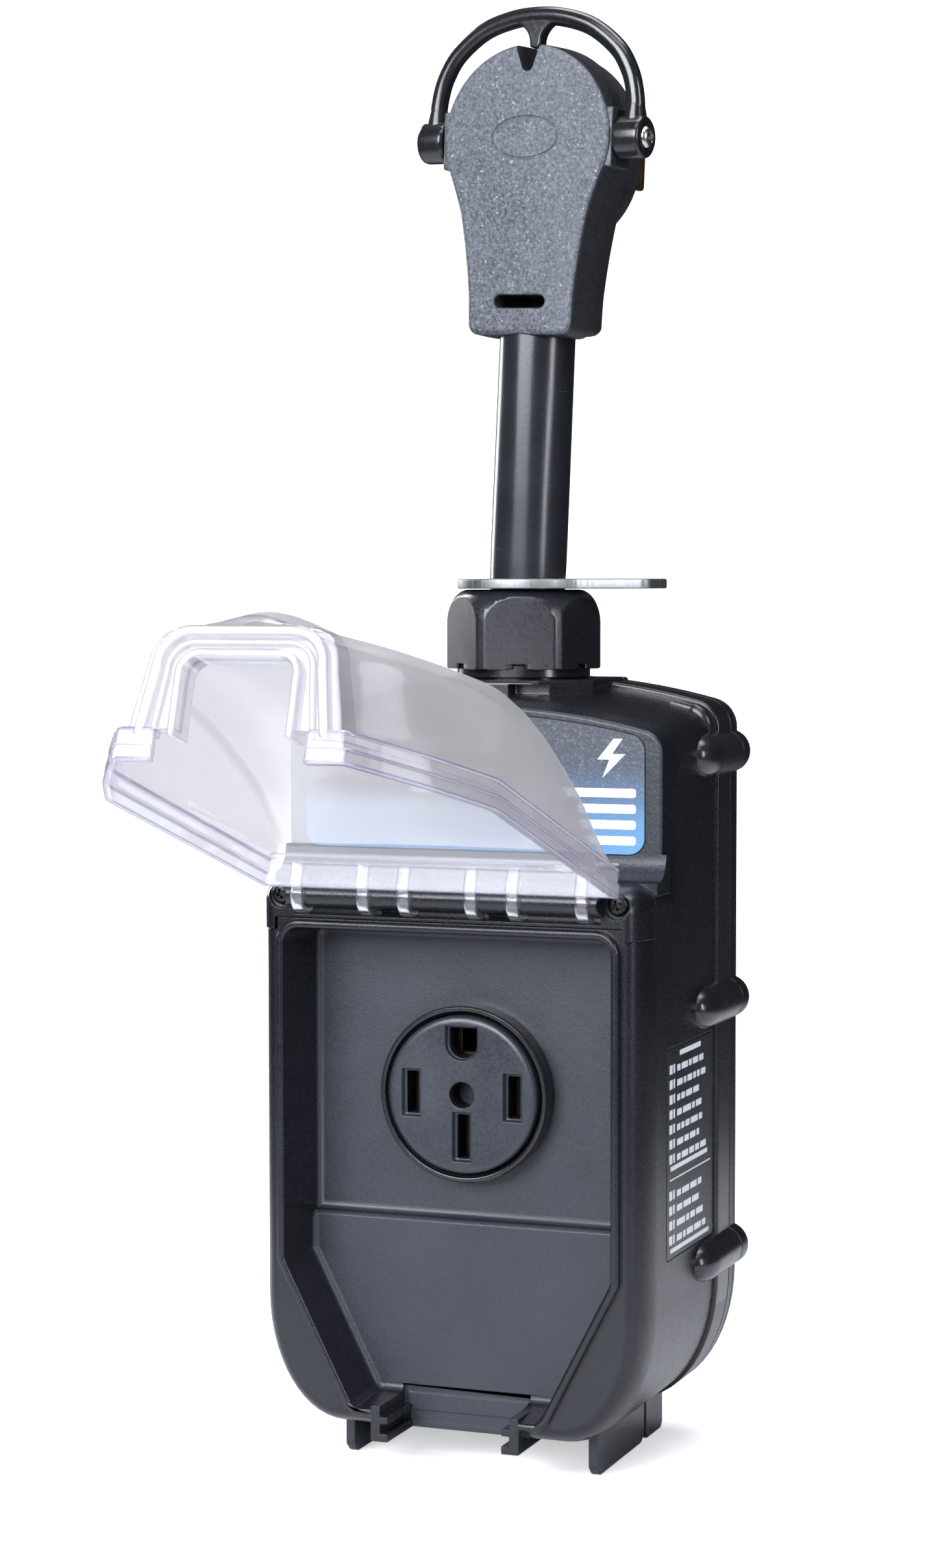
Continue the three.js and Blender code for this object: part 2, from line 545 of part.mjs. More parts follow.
const PIVOT = { y: -7.5, z: 68.2 }; // handle axis
const HEAD_Y = { face: -14.4, split: 1, back: 15, disc: 18, bladeTip: 38.5 };
const DISC_Z = 62; // centre of the mating disc
const headOutline = (offset, bottom = 1) => {
  const right = [
    [17 + offset, bottom - offset], [20.6 + offset, bottom + 3.6 - offset * 0.5],
    [21 + offset, 14], [22.4 + offset, 27], [25.2 + offset, 43],
    [28.9 + offset, 53.5], [31.8 + offset, 60.5],
  ];
  const left = right.map(([x, z]) => [-x, z]).reverse();
  return [...right, ...arc(0, 67.5, 33 + offset, 0, 180, 12), ...left];
};
const topNotch = prismY(
  [
    [-6.5, 106], [-4.4, 100], [-2.4, 93.4], ...arc(0, 93.6, 2.4, 200, 340, 4),
    [2.4, 93.4], [4.4, 100], [6.5, 106],
  ],
  -20, 32,
);
const slot = prismY(roundRect(-10, 10, 10.4, 14.8, 2.15, 3), -20, 30);
const cordHole = rodZ(CABLE_RADIUS + 0.4, -7, 9);
// Left solid inside the head, round the slot and the notch.
const webs = prismY(roundRect(-13, 13, 6.5, 18.7, 2, 2), -20, 30).add(box(-8, 8, -20, 20, 86, 110));
const pivotRods = (radius, x0, x1, sides) =>
  bothSides((side) => rodX(radius, PIVOT.y, PIVOT.z, side * x0, side * x1, sides));

const plugFront = () => {
  const hollow = prismY(headOutline(-4, 4), HEAD_Y.face + 4, HEAD_Y.split + 0.1)
    .subtract(webs).subtract(pivotRods(5, 22, 40, 12));
  const bevel = { depth: 2, inset: 1.4, segments: 2 };
  return roundedPrismY(headOutline(0), HEAD_Y.face, HEAD_Y.split, bevel)
    .subtract(hollow).subtract(topNotch).subtract(slot)
    .subtract(pivotRods(SCREW_RADIUS + GAP, 25, 40, 8)).subtract(cordHole);
};
add("plug_head_front", plugFront(), "head", head);

const BLADES = [ // name, x, z
  ["blade_hot_1", HOT_X, DISC_Z],
  ["blade_hot_2", -HOT_X, DISC_Z],
  ["blade_neutral", 0, DISC_Z + NEUTRAL_Z],
];
const PIN_Z = DISC_Z + GROUND_Z;
const plugBack = () => {
  const hollow = prismY(headOutline(-5, 4), 0, HEAD_Y.back - 6).subtract(webs);
  const bevel = { depth: 7, inset: 4.2, segments: 3 };
  return roundedPrismY(headOutline(-0.8), HEAD_Y.split + GAP, HEAD_Y.back, bevel, true)
    .add(rodY(28.5, 0, DISC_Z, HEAD_Y.back - 5, HEAD_Y.disc, 24))
    .subtract(hollow)
    .subtract(topNotch.intersect(box(-20, 20, 0, 8, 0, 200)))
    .subtract(slot).subtract(cordHole)
    .subtract(union(BLADES.map(([, x, z]) => boxAt(x, z, 1.2, 7.3, 0, 30))))
    .subtract(rodY(4.9, 0, PIN_Z, 0, 30, 16));
};
add("plug_head_back", plugBack(), "head", head);
for (const [name, x, z] of BLADES) {
  const blade = boxAt(x, z, 0.85, 7, 4, 37).add(boxAt(x, z, 0.85, 5.4, 36.5, HEAD_Y.bladeTip));
  add(name, blade, "brass", head);
}
const groundPin = rodY(4.5, 0, PIN_Z, 4, 38.6, 16).add(rodY(4.5, 0, PIN_Z, 38.5, 41, 16, 2.6));
add("ground_pin", groundPin, "brass", head);

// A bail with a boss at each end and a tab that drops into the notch; points are (x, z).
const BAIL = [
  [-39.2, 66], [-39.4, 76], [-37.2, 90], [-31, 99.2], [-21.5, 106.2], [-10.5, 109.6], [0, 110.6],
  [10.5, 109.6], [21.5, 106.2], [31, 99.2], [37.2, 90], [39.4, 76], [39.2, 66],
];
const TAB = [[-1.9, 100.4], [1.9, 100.4], [3.2, 104], [8.4, 109], [-8.4, 109], [-3.2, 104]];
const pullHandle = sweep(BAIL.map(([x, z]) => [x, PIVOT.y, z]), 3.2, 8, 22)
  .add(pivotRods(7.25, 33.6, 44, 16))
  .add(prismY(TAB, PIVOT.y - 2.6, PIVOT.y + 2.6))
  .subtract(pivotRods(SCREW_RADIUS + GAP, 30, 50, 8));
add("pull_handle", pullHandle, "gloss", head);

const handleScrew = (side) => {
  const { y, z } = PIVOT;
  const key = (halfY, halfZ) =>
    box(side * 45.4, side * 47, y - halfY, y + halfY, z - halfZ, z + halfZ);
  return rodX(3.9, y, z, side * 44.3, side * 46.4, 12)
    .add(rodX(SCREW_RADIUS, y, z, side * 26, side * 44.5, 8))
    .subtract(key(0.5, 2.2).add(key(2.2, 0.5)));
};
for (const [sideName, side] of Object.entries(SIDES)) {
  add(`handle_screw_${sideName}`, handleScrew(side), "steel", head);
}

// ================= clear cover =================
// Drawn closed, with the hinge axis along X through the origin: it hangs down (-Z) and bulges
// to the front (-Y). The group then swings it open.
const lid = new THREE.Group();
lid.position.set(0, HINGE.y, HINGE.z);
lid.rotation.set(-LID_OPEN * DEGREE, 0, 0);
product.add(lid);
const LID = { top: -5.1, bottom: -175.6, backY: -1, flangeY: -10.5, wall: 2.6 };
const HOOD = { top: LID.top - 2.5, bottom: -171.5 };
const flangePlan = (offset) => { // (x, z)
  const kneeZ = -(124 + offset * 0.5);
  return [
    [-(36 + offset), LID.bottom - offset], [36 + offset, LID.bottom - offset],
    [63.6 + offset, kneeZ], [62.8 + offset, LID.top + offset],
    [-(62.8 + offset), LID.top + offset], [-(63.6 + offset), kneeZ],
  ];
};
const hoodPlan = (offset) => { // (x, z)
  const lowerZ = -(155 + offset * 0.5);
  const upperZ = -(119.5 + offset * 0.5);
  return [
    [-(30.5 + offset), HOOD.bottom - offset], [30.5 + offset, HOOD.bottom - offset],
    [40 + offset, lowerZ], [58.2 + offset, upperZ], [60.8 + offset, HOOD.top + offset],
    [-(60.8 + offset), HOOD.top + offset], [-(58.2 + offset), upperZ], [-(40 + offset), lowerZ],
  ];
};
const hoodSide = (offset) => [ // (y, z)
  [2, HOOD.top + offset], [-12.5 - offset, HOOD.top + offset], [-19.3 - offset, -15.8],
  [-28.5 - offset, -33.8], [-34.4 - offset, -52.2], [-38.8 - offset, -71.9],
  [-41.3 - offset, -90], [-42 - offset, -110],
  [-42 - offset, HOOD.bottom - offset], [2, HOOD.bottom - offset],
];
const hoodSection = (offset) => [ // (x, y), with rounded shoulders
  [-66, -0.9], [66, -0.9], [62.5 + offset, -9], [60.5 + offset, -22],
  ...ellipseArc(47, -31, 12 + offset, 11.2 + offset, 10, -90, 5),
  ...ellipseArc(-47, -31, 12 + offset, 11.2 + offset, 270, 170, 5),
  [-60.5 - offset, -22], [-62.5 - offset, -9],
];
const hood = (offset) =>
  prismY(hoodPlan(offset), -60, 3)
    .intersect(prismX(hoodSide(offset), -80, 80))
    .intersect(prismZ(hoodSection(offset), -220, 10));
const cordOpening = (halfWidth, height, radius, z0, z1) => {
  const cornerX = halfWidth - radius;
  const outline = [
    [-halfWidth, 4], [halfWidth, 4],
    ...arc(cornerX, radius - height, radius, 0, -90, 3),
    ...arc(-cornerX, radius - height, radius, 270, 180, 3),
  ];
  return prismZ(outline, z0, z1);
};
// Hooks round the barrel, open towards the front and top, each with a block to the flange.
const hookOpening = prismX([[0, 0], ...arc(0, 0, 14, 80, 200, 4)], -80, 80);
const hook = (x) =>
  rodX(HINGE.hookOuter, 0, 0, x - 2, x + 2, 12)
    .subtract(rodX(HINGE.hookInner, 0, 0, x - 3, x + 3, 12))
    .subtract(hookOpening)
    .add(box(x - 2, x + 2, -5, 1.3, -7.6, -4.8));
const clearCover = () => {
  const frame = cordOpening(24.5, 37.5, 9, LID.bottom, -168.5)
    .intersect(box(-90, 90, -60, LID.backY, -200, 0));
  return hood(0).intersect(box(-90, 90, -80, LID.flangeY + 1, -220, 20))
    .add(prismY(flangePlan(0), LID.flangeY, LID.backY))
    .subtract(hood(-LID.wall).add(prismY(flangePlan(-LID.wall), LID.flangeY + 2.2, 5)))
    .add(frame)
    .subtract(cordOpening(17.3, 32, 5, -190, -160))
    .add(union(HOOKS_X.map(hook)));
};
add("clear_cover", clearCover(), "clear", lid);

// The part's origin is the middle of the underside of its bounding box.
product.position.set(0, ORIGIN_Y, 0);
const part = new THREE.Group();
part.add(product);

export default part;
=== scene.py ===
"""An outdoor power case with its receptacle under a hinged clear cover, shown open, and a
cable that rises from a gland on top to a plug head with a pull handle.

The case stands on the floor with its front towards -Y and +Z up. Shapes are drawn in
millimetres from the gland's axis at floor level; piece() turns them into metres."""
import json
import math
import random

import bmesh
import bpy
from mathutils import Matrix, Vector


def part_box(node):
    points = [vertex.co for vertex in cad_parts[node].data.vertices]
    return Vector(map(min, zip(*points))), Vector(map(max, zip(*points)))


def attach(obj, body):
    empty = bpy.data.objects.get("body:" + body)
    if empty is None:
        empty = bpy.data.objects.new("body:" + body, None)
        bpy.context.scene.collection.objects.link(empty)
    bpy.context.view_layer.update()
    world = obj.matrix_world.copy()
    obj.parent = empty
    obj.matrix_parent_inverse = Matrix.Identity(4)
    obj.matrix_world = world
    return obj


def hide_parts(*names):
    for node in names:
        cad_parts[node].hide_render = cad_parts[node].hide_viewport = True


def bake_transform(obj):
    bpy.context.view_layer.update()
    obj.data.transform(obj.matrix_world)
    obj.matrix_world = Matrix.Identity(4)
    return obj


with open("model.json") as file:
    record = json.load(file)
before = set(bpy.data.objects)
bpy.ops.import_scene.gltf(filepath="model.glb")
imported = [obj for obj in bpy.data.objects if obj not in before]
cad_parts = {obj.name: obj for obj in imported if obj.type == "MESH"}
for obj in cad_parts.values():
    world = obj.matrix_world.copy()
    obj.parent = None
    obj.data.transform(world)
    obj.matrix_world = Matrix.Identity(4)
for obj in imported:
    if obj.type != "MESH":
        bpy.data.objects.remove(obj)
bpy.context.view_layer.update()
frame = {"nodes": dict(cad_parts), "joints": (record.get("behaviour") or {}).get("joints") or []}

GLAND = (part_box("gland_body")[0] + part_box("gland_body")[1]) / 2
SHIFT = Vector((GLAND.x, GLAND.y, 0))
TO_METRES = Matrix.Translation(SHIFT) @ Matrix.Scale(0.001, 4)
RAD = math.pi / 180
SIDES = (("left", -1), ("right", 1))
random.seed(7)


# ---------------------------------------------------------------- outlines
def sin(degrees):
    return math.sin(degrees * RAD)


def cos(degrees):
    return math.cos(degrees * RAD)


def arc(x, y, radius_x, radius_y, start, end, steps):
    angles = [start + (end - start) * i / steps for i in range(steps + 1)]
    return [(x + radius_x * cos(a), y + radius_y * sin(a)) for a in angles]


def circle(radius, count=16, height=None):
    """A ring of points; height is its second radius if it is an ellipse."""
    angles = [2 * math.pi * i / count for i in range(count)]
    return [(radius * math.cos(a), (height or radius) * math.sin(a)) for a in angles]


def both_sides(half, middle=()):
    """Half an outline, the points in its middle, and the half again mirrored in x."""
    return half + list(middle) + [(-x, *rest) for x, *rest in reversed(half)]


def area(outline):
    pairs = [(outline[i - 1], outline[i]) for i in range(len(outline))]
    return sum(a[0] * b[1] - b[0] * a[1] for a, b in pairs) / 2


def clean(outline):
    """Drops repeated points and makes the outline run anticlockwise."""
    kept = [point for i, point in enumerate(outline) if math.dist(point, outline[i - 1]) > 1e-4]
    return kept if area(kept) > 0 else kept[::-1]


def offset(outline, distance):
    """The outline moved inwards by a distance (outwards if negative)."""
    if abs(distance) < 1e-9:
        return list(outline)
    moved_points = []
    for i in range(len(outline)):
        before, here = Vector(outline[i - 1]), Vector(outline[i])
        after = Vector(outline[(i + 1) % len(outline)])
        edge_in, edge_out = (here - before).normalized(), (after - here).normalized()
        normal_in = Vector((edge_in.y, -edge_in.x))
        middle = normal_in + Vector((edge_out.y, -edge_out.x))
        middle = middle.normalized() if middle.length > 1e-6 else normal_in
        stretch = max(middle.dot(normal_in), 0.45)
        point = here - middle * (distance / stretch)
        moved_points.append((point.x, point.y))
    return moved_points


def rounded(corners, steps=5):
    """A polygon of (x, y, radius) with each corner rounded."""
    outline = []
    for i, (x, y, radius) in enumerate(corners):
        if radius <= 0:
            outline.append((x, y))
            continue
        corner = Vector((x, y))
        back = Vector(corners[i - 1][:2]) - corner
        ahead = Vector(corners[(i + 1) % len(corners)][:2]) - corner
        to_back, to_ahead = back.normalized(), ahead.normalized()
        half = math.acos(max(-1, min(1, to_back.dot(to_ahead)))) / 2
        reach = min(radius / math.tan(half), back.length * 0.49, ahead.length * 0.49)
        fitted = reach * math.tan(half)
        centre = corner + (to_back + to_ahead).normalized() * (fitted / math.sin(half))
        first = corner + to_back * reach - centre
        last = corner + to_ahead * reach - centre
        start, end = math.atan2(first.y, first.x), math.atan2(last.y, last.x)
        while end - start > math.pi:
            end -= 2 * math.pi
        while end - start < -math.pi:
            end += 2 * math.pi
        for k in range(steps + 1):
            angle = start + (end - start) * k / steps
            outline.append((centre.x + fitted * math.cos(angle),
                            centre.y + fitted * math.sin(angle)))
    return outline


def rounded_rect(left, right, bottom, top, radius, steps):
    corners = ((left, bottom), (right, bottom), (right, top), (left, top))
    return rounded([(x, y, radius) for x, y in corners], steps)


def smooth_path(points, steps):
    """A Catmull-Rom curve through the points."""
    knots = [Vector(point) for point in points]
    spans = len(knots) - 1
    path = []
    for k in range(steps + 1):
        t = k / steps * spans
        i = min(int(t), spans - 1)
        f = t - i
        a, b, c, d = knots[max(i - 1, 0)], knots[i], knots[i + 1], knots[min(i + 2, spans)]
        path.append(0.5 * ((2 * b) + (c - a) * f + (2 * a - 5 * b + 4 * c - d) * f * f
                           + (3 * b - a - 3 * c + d) * f ** 3))
    return path


def lerp_table(table, x):
    if x <= table[0][0]:
        return table[0][1]
    for (a, value_a), (b, value_b) in zip(table, table[1:]):
        if x <= b:
            return value_a + (value_b - value_a) * (x - a) / (b - a)
    return table[-1][1]


def smooth_table(table, x, width):
    """The table's value averaged over a width, so its corners are rounded."""
    return sum(lerp_table(table, x + width * k / 4) for k in range(-4, 5)) / 9


# ---------------------------------------------------------------- meshes
# How a point of an outline, and its place along the axis, become x, y and z.
ALONG = {
    "x": lambda a, b, position: (position, a, b),
    "y": lambda a, b, position: (a, position, b),
    "z": lambda a, b, position: (a, b, position),
}
MIRROR_X = Matrix.Scale(-1, 4, (1, 0, 0))


def to_mesh(build):
    bmesh.ops.remove_doubles(build, verts=build.verts, dist=1e-5)
    bmesh.ops.recalc_face_normals(build, faces=build.faces)
    mesh = bpy.data.meshes.new("m")
    build.to_mesh(mesh)
    build.free()
    return mesh


def loft(rings, closed=False):
    """Rings of points joined in order, with capped ends unless the last joins the first."""
    build = bmesh.new()
    verts = [[build.verts.new(point) for point in ring] for ring in rings]
    count = len(rings[0])
    pairs = list(zip(verts, verts[1:])) + ([(verts[-1], verts[0])] if closed else [])
    for a, b in pairs:
        for i in range(count):
            j = (i + 1) % count
            build.faces.new((a[i], a[j], b[j], b[i]))
    if not closed:
        build.faces.new(verts[0])
        build.faces.new(verts[-1])
    return to_mesh(build)


def edge_steps(rounding, end, inward):
    """Steps of (inset, position) round an end's edge, from the end inwards."""
    if not rounding:
        return [(0, end)]
    inset, depth, count = rounding
    angles = [k * 90 / count for k in range(count + 1)]
    return [(inset * (1 - sin(a)), end + inward * depth * (1 - cos(a))) for a in angles]


def profile_prism(outline, steps, axis="y"):
    """An outline run along an axis through steps of (inset, position)."""
    outline = clean(outline)
    return loft([[ALONG[axis](a, b, position) for a, b in offset(outline, inset)]
                 for inset, position in steps])


def prism(outline, start, end, axis="y", first=None, last=None, both=None):
    """An outline run along an axis; first, last or both edges rounded by
    (inset, depth, steps)."""
    steps = edge_steps(first or both, start, 1) + edge_steps(last or both, end, -1)[::-1]
    return profile_prism(outline, steps, axis)


def lathe(profile, at=(0, 0), axis="z", count=64):
    """A profile of (radius, height) turned about an axis; a radius of 0 closes the end."""
    build = bmesh.new()
    rings = []
    for radius, height in profile:
        points = [at] if radius < 1e-6 else [
            (at[0] + radius * math.cos(2 * math.pi * i / count),
             at[1] + radius * math.sin(2 * math.pi * i / count)) for i in range(count)]
        rings.append([build.verts.new(ALONG[axis](*point, height)) for point in points])
    for a, b in zip(rings, rings[1:]):
        for i in range(count):
            j = (i + 1) % count
            if len(a) == 1:
                build.faces.new((a[0], b[i], b[j]))
            elif len(b) == 1:
                build.faces.new((a[i], a[j], b[0]))
            else:
                build.faces.new((a[i], a[j], b[j], b[i]))
    for ring in (rings[0], rings[-1]):
        if len(ring) > 1:
            build.faces.new(ring)
    return to_mesh(build)


def lathe_ring(loop, at=(0, 0), axis="z", count=64):
    """A closed profile of (radius, height) turned into a ring."""
    angles = [2 * math.pi * i / count for i in range(count)]
    return loft([[ALONG[axis](at[0] + radius * math.cos(a), at[1] + radius * math.sin(a), height)
                  for radius, height in loop] for a in angles], closed=True)


def cyl(radius, at, start, end, axis="z", count=48):
    return lathe([(radius, start), (radius, end)], at, axis, count)


def box(x0, x1, y0, y1, z0, z1, bevel=0.0):
    build = bmesh.new()
    bmesh.ops.create_cube(build, size=1)
    for v in build.verts:
        v.co = Vector(((x0 + x1) / 2 + v.co.x * (x1 - x0), (y0 + y1) / 2 + v.co.y * (y1 - y0),
                       (z0 + z1) / 2 + v.co.z * (z1 - z0)))
    if bevel:
        bmesh.ops.bevel(build, geom=build.edges[:], offset=bevel, segments=2, profile=0.5,
                        affect="EDGES")
    return to_mesh(build)


def sweep(path, section, closed=False):
    """A section, or a function of the way along that gives one, carried without twisting."""
    points = [Vector(point) for point in path]
    count = len(points)
    tangents = []
    for i in range(count):
        if closed:
            tangent = points[(i + 1) % count] - points[i - 1]
        else:
            tangent = points[min(i + 1, count - 1)] - points[max(i - 1, 0)]
        tangents.append(tangent.normalized())
    reference = Vector((0, 1, 0)) if abs(tangents[0].y) < 0.9 else Vector((1, 0, 0))
    side = tangents[0].cross(reference).normalized()
    rings = []
    for i, tangent in enumerate(tangents):
        if i:
            side = tangents[i - 1].rotation_difference(tangent) @ side
            side = (side - tangent * side.dot(tangent)).normalized()
        up = side.cross(tangent).normalized()
        here = section(i / (count - 1)) if callable(section) else section
        rings.append([tuple(points[i] + side * a + up * b) for a, b in here])
    return loft(rings, closed=closed)


def add_object(name, data):
    ob = bpy.data.objects.new(name, data)
    bpy.context.scene.collection.objects.link(ob)
    return ob


def with_modifier(mesh, kind, other=None, **settings):
    """The mesh with one modifier applied; other is the mesh of the object it works with."""
    ob = add_object("t", mesh)
    tool = add_object("t2", other) if other else None
    if tool:
        settings["object"] = tool
    modifier = ob.modifiers.new("b", kind)
    for key, value in settings.items():
        setattr(modifier, key, value)
    depsgraph = bpy.context.evaluated_depsgraph_get()
    made = bpy.data.meshes.new_from_object(ob.evaluated_get(depsgraph))
    bpy.data.objects.remove(ob)
    if tool:
        bpy.data.objects.remove(tool)
    return made


def boolean(first, rest, operation):
    for other in rest:
        made = with_modifier(first, "BOOLEAN", other, operation=operation, solver="MANIFOLD")
        # The manifold solver gives nothing when it can't take a mesh; the exact one can.
        if not len(made.polygons):
            made = with_modifier(first, "BOOLEAN", other, operation=operation, solver="EXACT")
        first = made
    return first


def union(first, *rest):
    return boolean(first, rest, "UNION")


def cut(first, *rest):
    return boolean(first, rest, "DIFFERENCE")


def common(first, other):
    return boolean(first, [other], "INTERSECT")


def bevelled(mesh, width, segments=2, angle=35):
    return with_modifier(mesh, "BEVEL", width=width, segments=segments, limit_method="ANGLE",
                         angle_limit=angle * RAD, use_clamp_overlap=True)


def joined(*meshes):
    build = bmesh.new()
    for part in meshes:
        build.from_mesh(part)
    mesh = bpy.data.meshes.new("m")
    build.to_mesh(mesh)
    build.free()
    return mesh


def moved(mesh, matrix):
    mesh = mesh.copy()
    mesh.transform(matrix)
    if matrix.determinant() < 0:
        mesh.flip_normals()
    return mesh


def piece(name, mesh, body, material, slot, replaces=(), sharp=32, weighted=True, place=None):
    """Makes a finished object that rides a body; edges over the angle sharp stay sharp.
    The slot argument is not used."""
    if place is not None:
        mesh.transform(place)
    mesh.transform(TO_METRES)
    build = bmesh.new()
    build.from_mesh(mesh)
    bmesh.ops.remove_doubles(build, verts=build.verts, dist=2e-6)
    bmesh.ops.dissolve_degenerate(build, edges=build.edges, dist=1e-6)
    build.to_mesh(mesh)
    build.free()
    mesh.name = name
    ob = add_object(name, mesh)
    mesh.materials.clear()
    mesh.materials.append(MATERIALS[material])
    for face in mesh.polygons:
        face.use_smooth = True
        face.material_index = 0
    mesh.set_sharp_from_angle(angle=sharp * RAD)
    if weighted:
        modifier = ob.modifiers.new("WeightedNormal", "WEIGHTED_NORMAL")
        modifier.keep_sharp = True
        modifier.weight = 60
    if body:
        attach(ob, body)
    if replaces:
        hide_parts(*replaces)
    return ob


def skin(node, *details, **options):
    """A piece that takes the place of one CAD node."""
    return piece(node + "_skin", *details, replaces=[node], **options)


def repaint(ob, extra, choose):
    """Adds materials to a piece and gives each face the slot that choose(face) returns."""
    for name in extra:
        ob.data.materials.append(MATERIALS[name])
    for face in ob.data.polygons:
        face.material_index = choose(face)


# ---------------------------------------------------------------- shader building
MATERIALS = {}
MIDDLE = (0.3, 0.7)  # the range that most of a noise's values lie in


def scaled(colour, gain, lift=0.0):
    return tuple(min(1, c * gain + lift) for c in colour)


class Nodes:
    """A material or world under construction; its methods return output sockets."""

    def __init__(self, name, world=False):
        self.name = name
        self.owner = (bpy.data.worlds if world else bpy.data.materials).new(name)
        self.owner.use_nodes = True
        self.tree = self.owner.node_tree
        self.tree.nodes.clear()
        kind = "World" if world else "Material"
        self.end = self.tree.nodes.new("ShaderNodeOutput" + kind)

    def add(self, kind, inputs=None, output=0, **settings):
        node = self.tree.nodes.new("ShaderNode" + kind)
        for key, value in settings.items():
            setattr(node, key, value)
        for key, value in (inputs or {}).items():
            socket = node.inputs[key]
            if isinstance(value, bpy.types.NodeSocket):
                self.tree.links.new(value, socket)
            elif socket.type == "RGBA":
                socket.default_value = (*value, 1)
            else:
                socket.default_value = value
        return node.outputs[output]

    def coords(self, stretch=None):
        place = self.add("TexCoord", output="Object")
        return self.add("Mapping", {"Vector": place, "Scale": stretch}) if stretch else place

    def position(self):
        return self.add("SeparateXYZ", {0: self.coords()}).node.outputs

    def noise(self, scale, detail=2.0, rough=0.5, stretch=None):
        return self.add("TexNoise", {"Scale": scale, "Detail": detail, "Roughness": rough,
                                     "Vector": self.coords(stretch)}, "Fac")

    def ramp(self, value, source, target=(0.0, 1.0), smooth=False):
        """The value taken from the source range to the target range, and clamped."""
        return self.add("MapRange", {
            "Value": value, "From Min": source[0], "From Max": source[1],
            "To Min": target[0], "To Max": target[1],
        }, "Result", interpolation_type="SMOOTHSTEP" if smooth else "LINEAR")

    def math(self, operation, first, second=0.0):
        return self.add("Math", {0: first, 1: second}, operation=operation)

    def plus(self, first, second):
        return self.math("ADD", first, second)

    def times(self, first, second):
        return self.math("MULTIPLY", first, second)

    def mix(self, factor, first, second):
        return self.add("Mix", {0: factor, 6: first, 7: second}, 2, data_type="RGBA")

    def mix_shader(self, factor, first, second):
        return self.add("MixShader", {0: factor, 1: first, 2: second})

    def soft_normal(self, radius):
        """The normal with edges rounded by a radius in metres."""
        return self.add("Bevel", {"Radius": radius}, samples=4)

    def edges(self, radius):
        """The rounded normal, and how near an edge the point is."""
        normal = self.soft_normal(radius)
        flat = self.add("NewGeometry", output="Normal")
        match = self.add("VectorMath", {0: normal, 1: flat}, "Value", operation="DOT_PRODUCT")
        return normal, self.ramp(match, (1.0, 0.86))

    def bump(self, height, distance, normal=None):
        inputs = {"Strength": 1.0, "Distance": distance, "Height": height}
        if normal is not None:
            inputs["Normal"] = normal
        return self.add("Bump", inputs)

    def seen_directly(self):
        """1 for rays from the camera, straight or through a clear part, and 0 for others."""
        rays = self.add("LightPath").node.outputs
        return self.math("MAXIMUM", rays["Is Camera Ray"], rays["Is Transmission Ray"])

    def principled(self, **values):
        return self.add("BsdfPrincipled", {k.replace("_", " "): v for k, v in values.items()})

    def finish(self, surface):
        self.tree.links.new(surface, self.end.inputs["Surface"])
        MATERIALS[self.name] = self.owner

    def surface(self, **values):
        self.finish(self.principled(**values))


# ---------------------------------------------------------------- materials
def moulded(name, dark, light, rough, grain, depth, wear_and_highlight, smudge, coat=0.0, specular=0.5):
    """Moulded plastic: fine grain, slow drift in colour and gloss, edges lighter, partly worn
    by rubbing and partly a painted highlight.
    """
    nodes = Nodes(name)
    normal, near_edge = nodes.edges(radius=0.0005)
    fine = nodes.noise(scale=grain, detail=3.0, rough=0.62)
    drift = nodes.noise(scale=26, detail=4.0, rough=0.6)
    blotch = nodes.noise(scale=grain * 0.23)
    tone = nodes.mix(nodes.ramp(drift, MIDDLE), dark, light)
    speckle = nodes.times(nodes.ramp(fine, (0.35, 0.7)), 0.35)
    tone = nodes.mix(speckle, tone, scaled(light, gain=1.9, lift=0.004))
    # Edges lighter: partly worn by rubbing, partly a painted highlight.
    tone = nodes.mix(nodes.times(near_edge, wear_and_highlight), tone, scaled(light, gain=2.4, lift=0.012))
    broad = nodes.ramp(drift, (0.25, 0.75), (rough - smudge, rough + smudge))
    height = nodes.plus(fine, nodes.times(blotch, 0.6))
    nodes.surface(Base_Color=tone, Roughness=nodes.plus(broad, nodes.ramp(fine, MIDDLE, (-0.05, 0.05))),
                  Normal=nodes.bump(height, depth, normal), Coat_Weight=coat,
                  Coat_Roughness=0.12, Specular_IOR_Level=specular)
